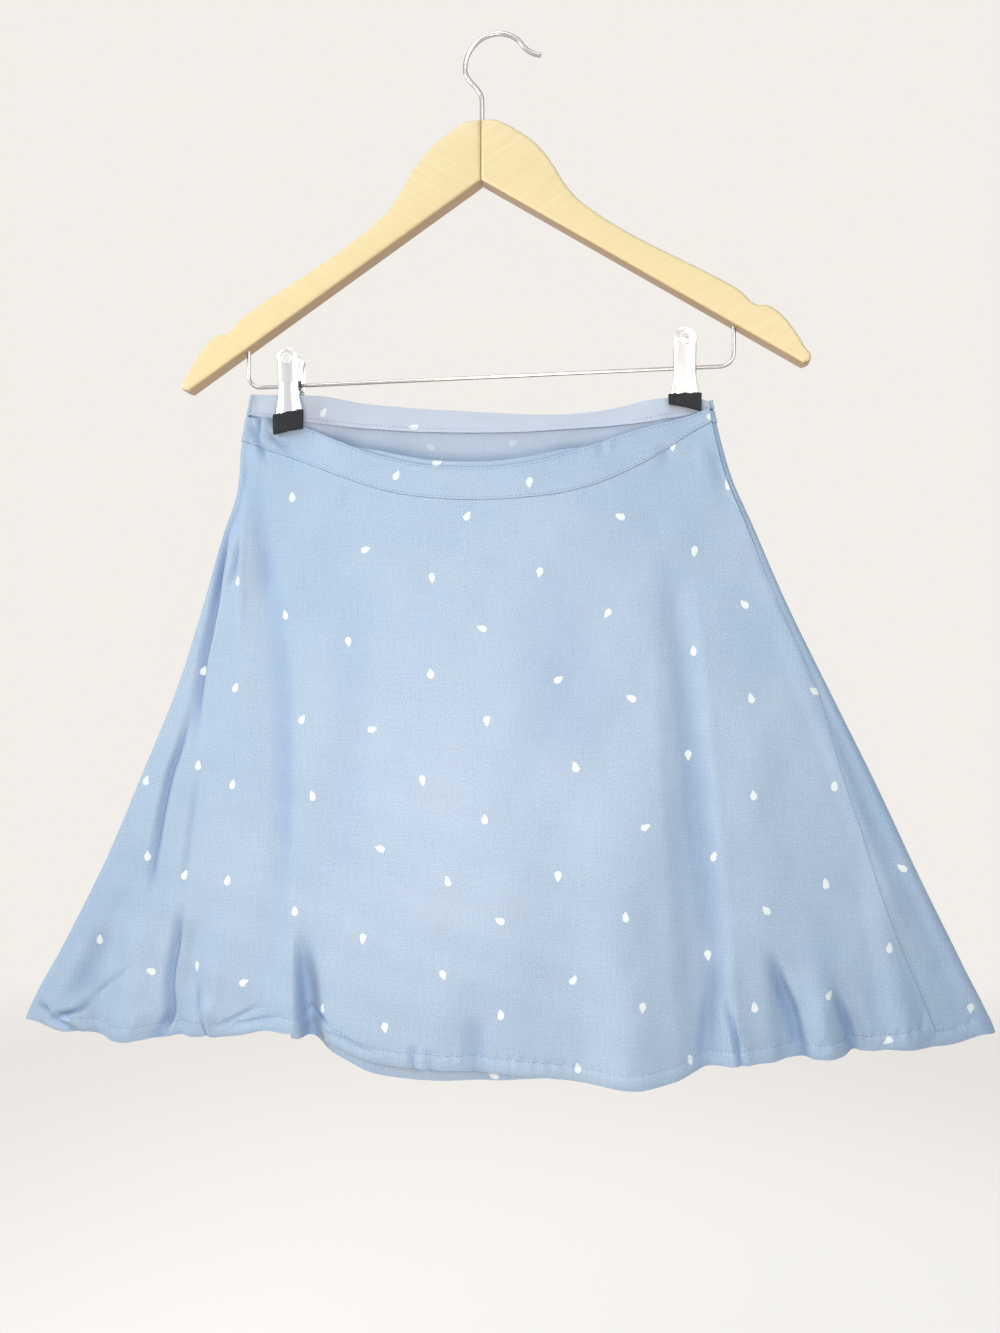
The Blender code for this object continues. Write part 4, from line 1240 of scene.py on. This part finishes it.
def drillInto(piece, place, radius, length, corners=32, turn=0.0):
    # a round bore, upright or turned toward the front, cut with a bit that is taken away
    bpy.ops.mesh.primitive_cylinder_add(
        vertices=corners, radius=radius * mm, depth=length * mm, location=[value * mm for value in place],
        rotation=(turn, 0, 0))
    bit = bpy.context.object
    bit.select_set(False)
    applied(piece, "BOOLEAN", object=bit)
    bpy.data.objects.remove(bit)


def undersideZ(x):
    return between(hanger["jointFoot"], hanger["tipFoot"], x / (hanger["reach"] - hanger["tipIn"]))


def newCurve(name, places, kinds, **settings):
    # a closed or open curve through places in millimetres
    curve = bpy.data.curves.new(name, "CURVE")
    for setting, value in settings.items():
        setattr(curve, setting, value)
    spline = curve.splines.new("BEZIER")
    spline.bezier_points.add(len(places) - 1)
    for point, place, kind in zip(spline.bezier_points, places, kinds):
        point.co = [value * mm for value in place]
        point.handle_left_type = kind
        point.handle_right_type = kind
    return newObject(name, curve)


def makeArm(side, node):
    rounding = hanger["edgeRound"]
    gap = hanger["jointGap"] / 2
    sharp = [(gap, hanger["jointTop"]), (hanger["reach"] - hanger["tipIn"], hanger["tipFoot"]),
             (gap, hanger["jointFoot"])]
    outline = [sharp[0]] + list(hanger["top"]) + sharp[1:]
    arm = newCurve(node + "_wood", [(side * x, z, 0.0) for x, z in outline],
                   ["VECTOR" if place in sharp else "AUTO" for place in outline],
                   dimensions="2D", fill_mode="BOTH", extrude=(hanger["thick"] / 2 - rounding) * mm,
                   bevel_depth=rounding * mm, bevel_resolution=4, offset=-rounding * mm, resolution_u=10)
    arm.data.splines[0].use_cyclic_u = True
    arm.rotation_euler = (math.pi / 2, 0.0, 0.0)
    arm.location = (hanger["middleX"] * mm, 0.0, 0.0)
    arm = makeMesh(arm)
    bores = (
        (hook, hanger["middleX"], hanger["jointTop"]),
        (bar, hanger["middleX"] + side * bar["half"], undersideZ(bar["half"])),
    )
    for wire, x, z in bores:
        lift, length = wire["bore"]
        drillInto(arm, (x, 0.0, z + lift), wire["wire"] / 2 + hanger["boreSlack"], length)
    smoothUpTo(35)
    return takePlace(arm, node, armWood[side])


def arcPoints(x, z, radius, start, stop, steps):
    angles = [math.radians(start + (stop - start) * i / steps) for i in range(steps + 1)]
    return [(x + radius * math.cos(a), 0.0, z + radius * math.sin(a)) for a in angles]


def makeWire(node, name, places, thickness, metal):
    # a bent round wire
    wire = newCurve(name, places, ["AUTO"] * len(places), dimensions="3D", bevel_depth=thickness / 2 * mm,
                    bevel_resolution=5, use_fill_caps=True, resolution_u=6)
    return takePlace(makeMesh(wire), node, metals[metal])


makeArm(-1, "hanger_arm_left")
makeArm(1, "hanger_arm_right")
hookRoute = [(hanger["middleX"], 0.0, z) for z in (hanger["jointTop"] - hook["seat"], hook["neck"])]
hookRoute += [(x, 0.0, z) for x, z in reversed(hook["stem"])]
hookMiddle = hook["wire"] / 2 - hook["radius"]
hookRoute += arcPoints(0.0, hookMiddle, hook["radius"], hook["start"], hook["stop"], 14)
hookRoute += [(x, 0.0, z) for x, z in hook["tip"]]
makeWire("hook", "hook_wire", hookRoute, hook["wire"], "wireSteel")
barLeft, barRight = hanger["middleX"] - bar["half"], hanger["middleX"] + bar["half"]
legTop = undersideZ(bar["half"]) + bar["seat"]
legFoot = bar["z"] + bar["bend"]
barRoute = [(barLeft, 0.0, z) for z in (legTop, legTop - bar["legStep"], legFoot + bar["bendStep"])]
barRoute += arcPoints(barLeft + bar["bend"], legFoot, bar["bend"], 180, 270, 6)
barRoute += [(x, 0.0, bar["z"]) for x in (barLeft + bar["bend"] + bar["runStep"],
                                    barRight - bar["bend"] - bar["runStep"])]
barRoute += arcPoints(barRight - bar["bend"], legFoot, bar["bend"], 270, 360, 6)
barRoute += [(barRight, 0.0, z) for z in (legFoot + bar["bendStep"], legTop - bar["legStep"], legTop)]
makeWire("bar", "bar_wire", barRoute, bar["wire"], "wireSteel")
print("hanger made")


# ---- the clips ----

clip = {
    "reach": 140.0,
    "top": 24.5,
    "half": 7.2,
    "tipY": 9.8,
    "leanFrom": -19.0,
    "sheet": 0.8,
    "crowned": 0.5,
    "eye": 3.0,
    "eyeRing": 0.55,
    "eyeOut": 0.4,
    "ringOut": 0.3,
    "ribTop": 1.5,
    "ribDepth": 0.75,
    "ribWidth": 1.3,
    "curl": 1.7,
    "curlPower": 7,
    "capHalf": 11.2,
    "capThick": 3.6,
    "capRound": 0.9,
    "capWave": 0.35,
    "capSag": 0.5,
    "capPinch": 0.12,
    "capTaper": 0.03,
    "springRadius": 2.9,
    "springWire": 1.0,
    "springHalf": 7.2,
    "springTurns": 9,
    "springLeg": ((-4.6, 11), (-3.4, 4)),       # y, height from the bar
    # height from the bar, half width, rib's place
    "outline": (
        (-27, 9.8, 5.2), (-18.5, 9.6, 5.0), (-10, 7.9, 4.4), (-3, 7.25, 4.1), (4, 7.2, 4.0),
        (18, 7.2, 4.0),
    ),
}
# side, its grip in front and behind, the plates' foot, and the cap's corner heights: left top, right top,
# left foot, right foot
clipGrips = {
    "left": (-1, -5.0, 4.3, -27.0, (-22.2, -18.6, -35.6, -32.0)),
    "right": (1, -0.5, 2.5, -22.0, (-17.8, -17.8, -24.0, -29.6)),
}


def makeJaw(node, x, inner, face, foot):
    # a stamped plate: domed at its top, with curled sides, two ribs and a ringed eye
    crown = clip["top"] - clip["half"]
    heights = list(spread((foot, crown, 56)))
    heights += [crown + clip["half"] * math.sin(math.radians(a)) for a in range(6, 90, 6)]
    jaw, flat = newGrid(node + "_plate", 36, len(heights) - 1)
    z = np.array(heights)[np.rint((flat[:, 1] + 0.5) * (len(heights) - 1)).astype(int)]
    dome = np.sqrt(np.clip(clip["half"] ** 2 - (z - crown) ** 2, 0, None))
    half = np.where(z > crown, dome, curveThrough(clip["outline"], z, 1))
    across = flat[:, 0] * 2
    plateX = across * half
    rib = curveThrough(clip["outline"], z, 2)
    groove = np.exp(-((np.abs(plateX) - rib) / (clip["ribWidth"] / 2)) ** 2) * ease((clip["ribTop"] - z) / 4)
    curl = np.abs(across) ** clip["curlPower"] * clip["curl"] * ease((crown + 5 - z) / 10)
    out = clip["crowned"] * (1 - across ** 2) - curl - groove * clip["ribDepth"]
    footY = inner + face * clip["capThick"] / 2
    lean = (face * clip["tipY"] - footY) / (clip["top"] - clip["leanFrom"])
    y = footY + lean * np.clip(z - clip["leanFrom"], 0, None) + face * out
    for vertex, place in zip(jaw.data.vertices, zip(x + plateX, y, bar["z"] + z)):
        vertex.co = Vector(place) * mm
    if face > 0:
        jaw.data.flip_normals()
    applied(jaw, "SOLIDIFY", thickness=clip["sheet"] * mm, offset=0.0)
    eyeZ = bar["z"] + crown
    eyeY = footY + lean * (crown - clip["leanFrom"]) + face * clip["eyeOut"]
    drillInto(jaw, (x, eyeY, eyeZ), clip["eye"], 8, corners=40, turn=math.pi / 2)
    bpy.ops.object.select_all(action="DESELECT")
    bpy.ops.mesh.primitive_torus_add(
        major_radius=(clip["eye"] + clip["ringOut"]) * mm, minor_radius=clip["eyeRing"] * mm,
        major_segments=40, minor_segments=10, rotation=(math.pi / 2, 0, 0),
        location=(x * mm, (eyeY + face * clip["ringOut"]) * mm, eyeZ * mm))
    jaw.select_set(True)
    bpy.context.view_layer.objects.active = jaw
    bpy.ops.object.join()
    smoothUpTo(40)
    jaw.select_set(False)
    return takePlace(jaw, node, metals["brightSteel"])


def makeCap(node, x, inner, face, corners):
    # a soft moulded cap: a rounded block whose ends follow its four corners
    leftTop, rightTop, leftFoot, rightFoot = corners
    bpy.ops.mesh.primitive_cube_add(size=1.0)
    cap = bpy.context.object
    cap.name = node + "_moulding"
    bpy.ops.object.mode_set(mode="EDIT")
    bpy.ops.mesh.subdivide(number_cuts=9)
    bpy.ops.object.mode_set(mode="OBJECT")
    middle = inner + face * clip["capThick"] / 2
    for vertex in cap.data.vertices:
        u, v, w = (c + 0.5 for c in vertex.co)
        across = 2 * u - 1
        wavy = clip["capWave"] * math.cos(across * 3 * math.pi) * w
        z = between(between(leftFoot, rightFoot, u), between(leftTop, rightTop, u), w)
        z += wavy - clip["capSag"] * (1 - w) * across ** 2
        y = middle + (v - 0.5) * clip["capThick"] * (1 - clip["capPinch"] * across ** 4)
        wide = clip["capHalf"] * (1 - clip["capTaper"] * (1 - w))
        vertex.co = Vector((x + across * wide, y, bar["z"] + z)) * mm
    applied(cap, "BEVEL", width=clip["capRound"] * mm, segments=4, limit_method="ANGLE",
            angle_limit=math.radians(50))
    bpy.ops.object.select_all(action="DESELECT")
    cap.select_set(True)
    smoothUpTo(50)
    cap.select_set(False)
    return takePlace(cap, node, blackRubber)


def makeSpring(node, x):
    # a coil round the bar, with a leg up the front jaw
    half, radius = clip["springHalf"], clip["springRadius"]
    turns, perTurn = clip["springTurns"], 10
    places = [(x - half, y, bar["z"] + z) for y, z in clip["springLeg"]]
    for i in range(turns * perTurn + 1):
        angle = math.pi + 2 * math.pi * i / perTurn
        across = x - half + 2 * half * i / (turns * perTurn)
        places.append((across, radius * math.cos(angle), bar["z"] + radius * math.sin(angle)))
    # its near-black steel is partly painted shade
    return makeWire(node, node + "_coil", places, clip["springWire"], "springSteelAndPaintedShade")


for name, (side, front, back, foot, corners) in clipGrips.items():
    clipX = hanger["middleX"] + side * clip["reach"]
    for facing, face, inner in (("front", -1, front), ("back", 1, back)):
        makeJaw("clip_%s_jaw_%s" % (name, facing), clipX, inner, face, foot)
        makeCap("clip_%s_cap_%s" % (name, facing), clipX, inner, face, corners)
    makeSpring("clip_%s_spring" % name, clipX)
print("clips made")


# ---- floor and light ----

stage = {
    "floorZ": -1250.0,
    "floorRadius": 3200.0,
    "floorColour": (0.95, 0.93, 0.90),
    "floorGlow": 0.11,
    "floorFade": (0.3, 2.2, 1.0, 0.0),      # it runs out softly, so it has no hard edge
    "backdrop": (0.890, 0.855, 0.815),
    "air": (0.98, 0.99, 1.0),
    "airStrength": 0.155,
    "airPatches": (0.62, 1.38),             # the room's dark and bright sides
    "airPatchSize": (1.6, 0.35, 0.65),
    "airGloss": 0.98,                       # how bright the room is in the metal
}
# name: place, aimed at, size, watts, colour
lights = {
    "sideLight": ((-1300, -500, 0), (0, 0, -430), 500, 9.0, (0.95, 0.985, 1.0)),
    "highLight": ((-300, -700, 900), (0, 0, -350), 700, 6.0, (1.0, 0.99, 0.95)),
    "nearLight": ((-20, -560, -520), (-20, 0, -540), 300, 2.5, (1.0, 0.72, 0.54)),
    "fillLight": ((900, -1500, 200), (60, 0, -420), 1300, 11.0, (0.86, 0.945, 1.0)),
    "backLight": ((-700, 1400, 300), (0, 0, -430), 900, 18.0, (1.0, 1.0, 1.0)),
    "backFill": ((1100, 1100, -200), (0, 0, -430), 900, 7.0, (0.96, 0.98, 1.0)),
}


def makeFloor():
    bpy.ops.mesh.primitive_circle_add(vertices=96, radius=stage["floorRadius"] * mm, fill_type="NGON",
                                      location=(0, 0, stage["floorZ"] * mm))
    floor = bpy.context.object
    floor.name = "paleFloor"
    floor.select_set(False)
    material, paint = newMaterial("paleFloorPaint")
    length = paint.add("VectorMath", {0: paint.place()}, operation="LENGTH")["Value"]
    paint.shade({
        "Base Color": stage["floorColour"],
        "Roughness": 0.9,
        "Emission Color": stage["floorColour"],
        "Emission Strength": stage["floorGlow"],
        "Alpha": paint.ramp(length, *stage["floorFade"]),
    })
    floor.data.materials.append(material)


def makeAir():
    # the air is a plain pale backdrop to look at, and a room with bright and dark sides to be lit by
    world = bpy.data.worlds.new("paleStudio")
    paint = Paint(world)
    rays = paint.add("LightPath", {})
    seen = rays["Is Camera Ray"]
    size, dark, bright = stage["airPatchSize"]
    patches = paint.noise(paint.place("Generated"), size, 1.0)
    patches = paint.ramp(patches, dark, bright, *stage["airPatches"])
    strength = paint.ramp(rays["Is Glossy Ray"], 0.0, 1.0, stage["airStrength"], stage["airGloss"])
    strength = paint.calc("MULTIPLY", patches, strength)
    strength = paint.calc("MULTIPLY_ADD", strength, paint.calc("SUBTRACT", 1.0, seen), seen)
    colour = paint.mix(seen, stage["air"], stage["backdrop"])
    paint.shade({"Strength": strength, "Color": colour}, "Background")
    bpy.context.scene.world = world
    bpy.context.scene.view_settings.view_transform = "Standard"


def makeLights():
    for name, (place, aim, size, watts, colour) in lights.items():
        data = bpy.data.lights.new(name, "AREA")
        data.shape = "DISK"
        data.size = size * mm
        data.energy = watts
        data.color = colour
        lamp = newObject(name, data)
        lamp.visible_camera = False
        lamp.visible_glossy = place[1] < 0      # no bright rims from the lights behind
        lamp.location = Vector(place) * mm
        lamp.rotation_euler = (Vector(aim) - Vector(place)).to_track_quat("-Z", "Y").to_euler()


makeFloor()
makeAir()
makeLights()
print("floor and lights made")
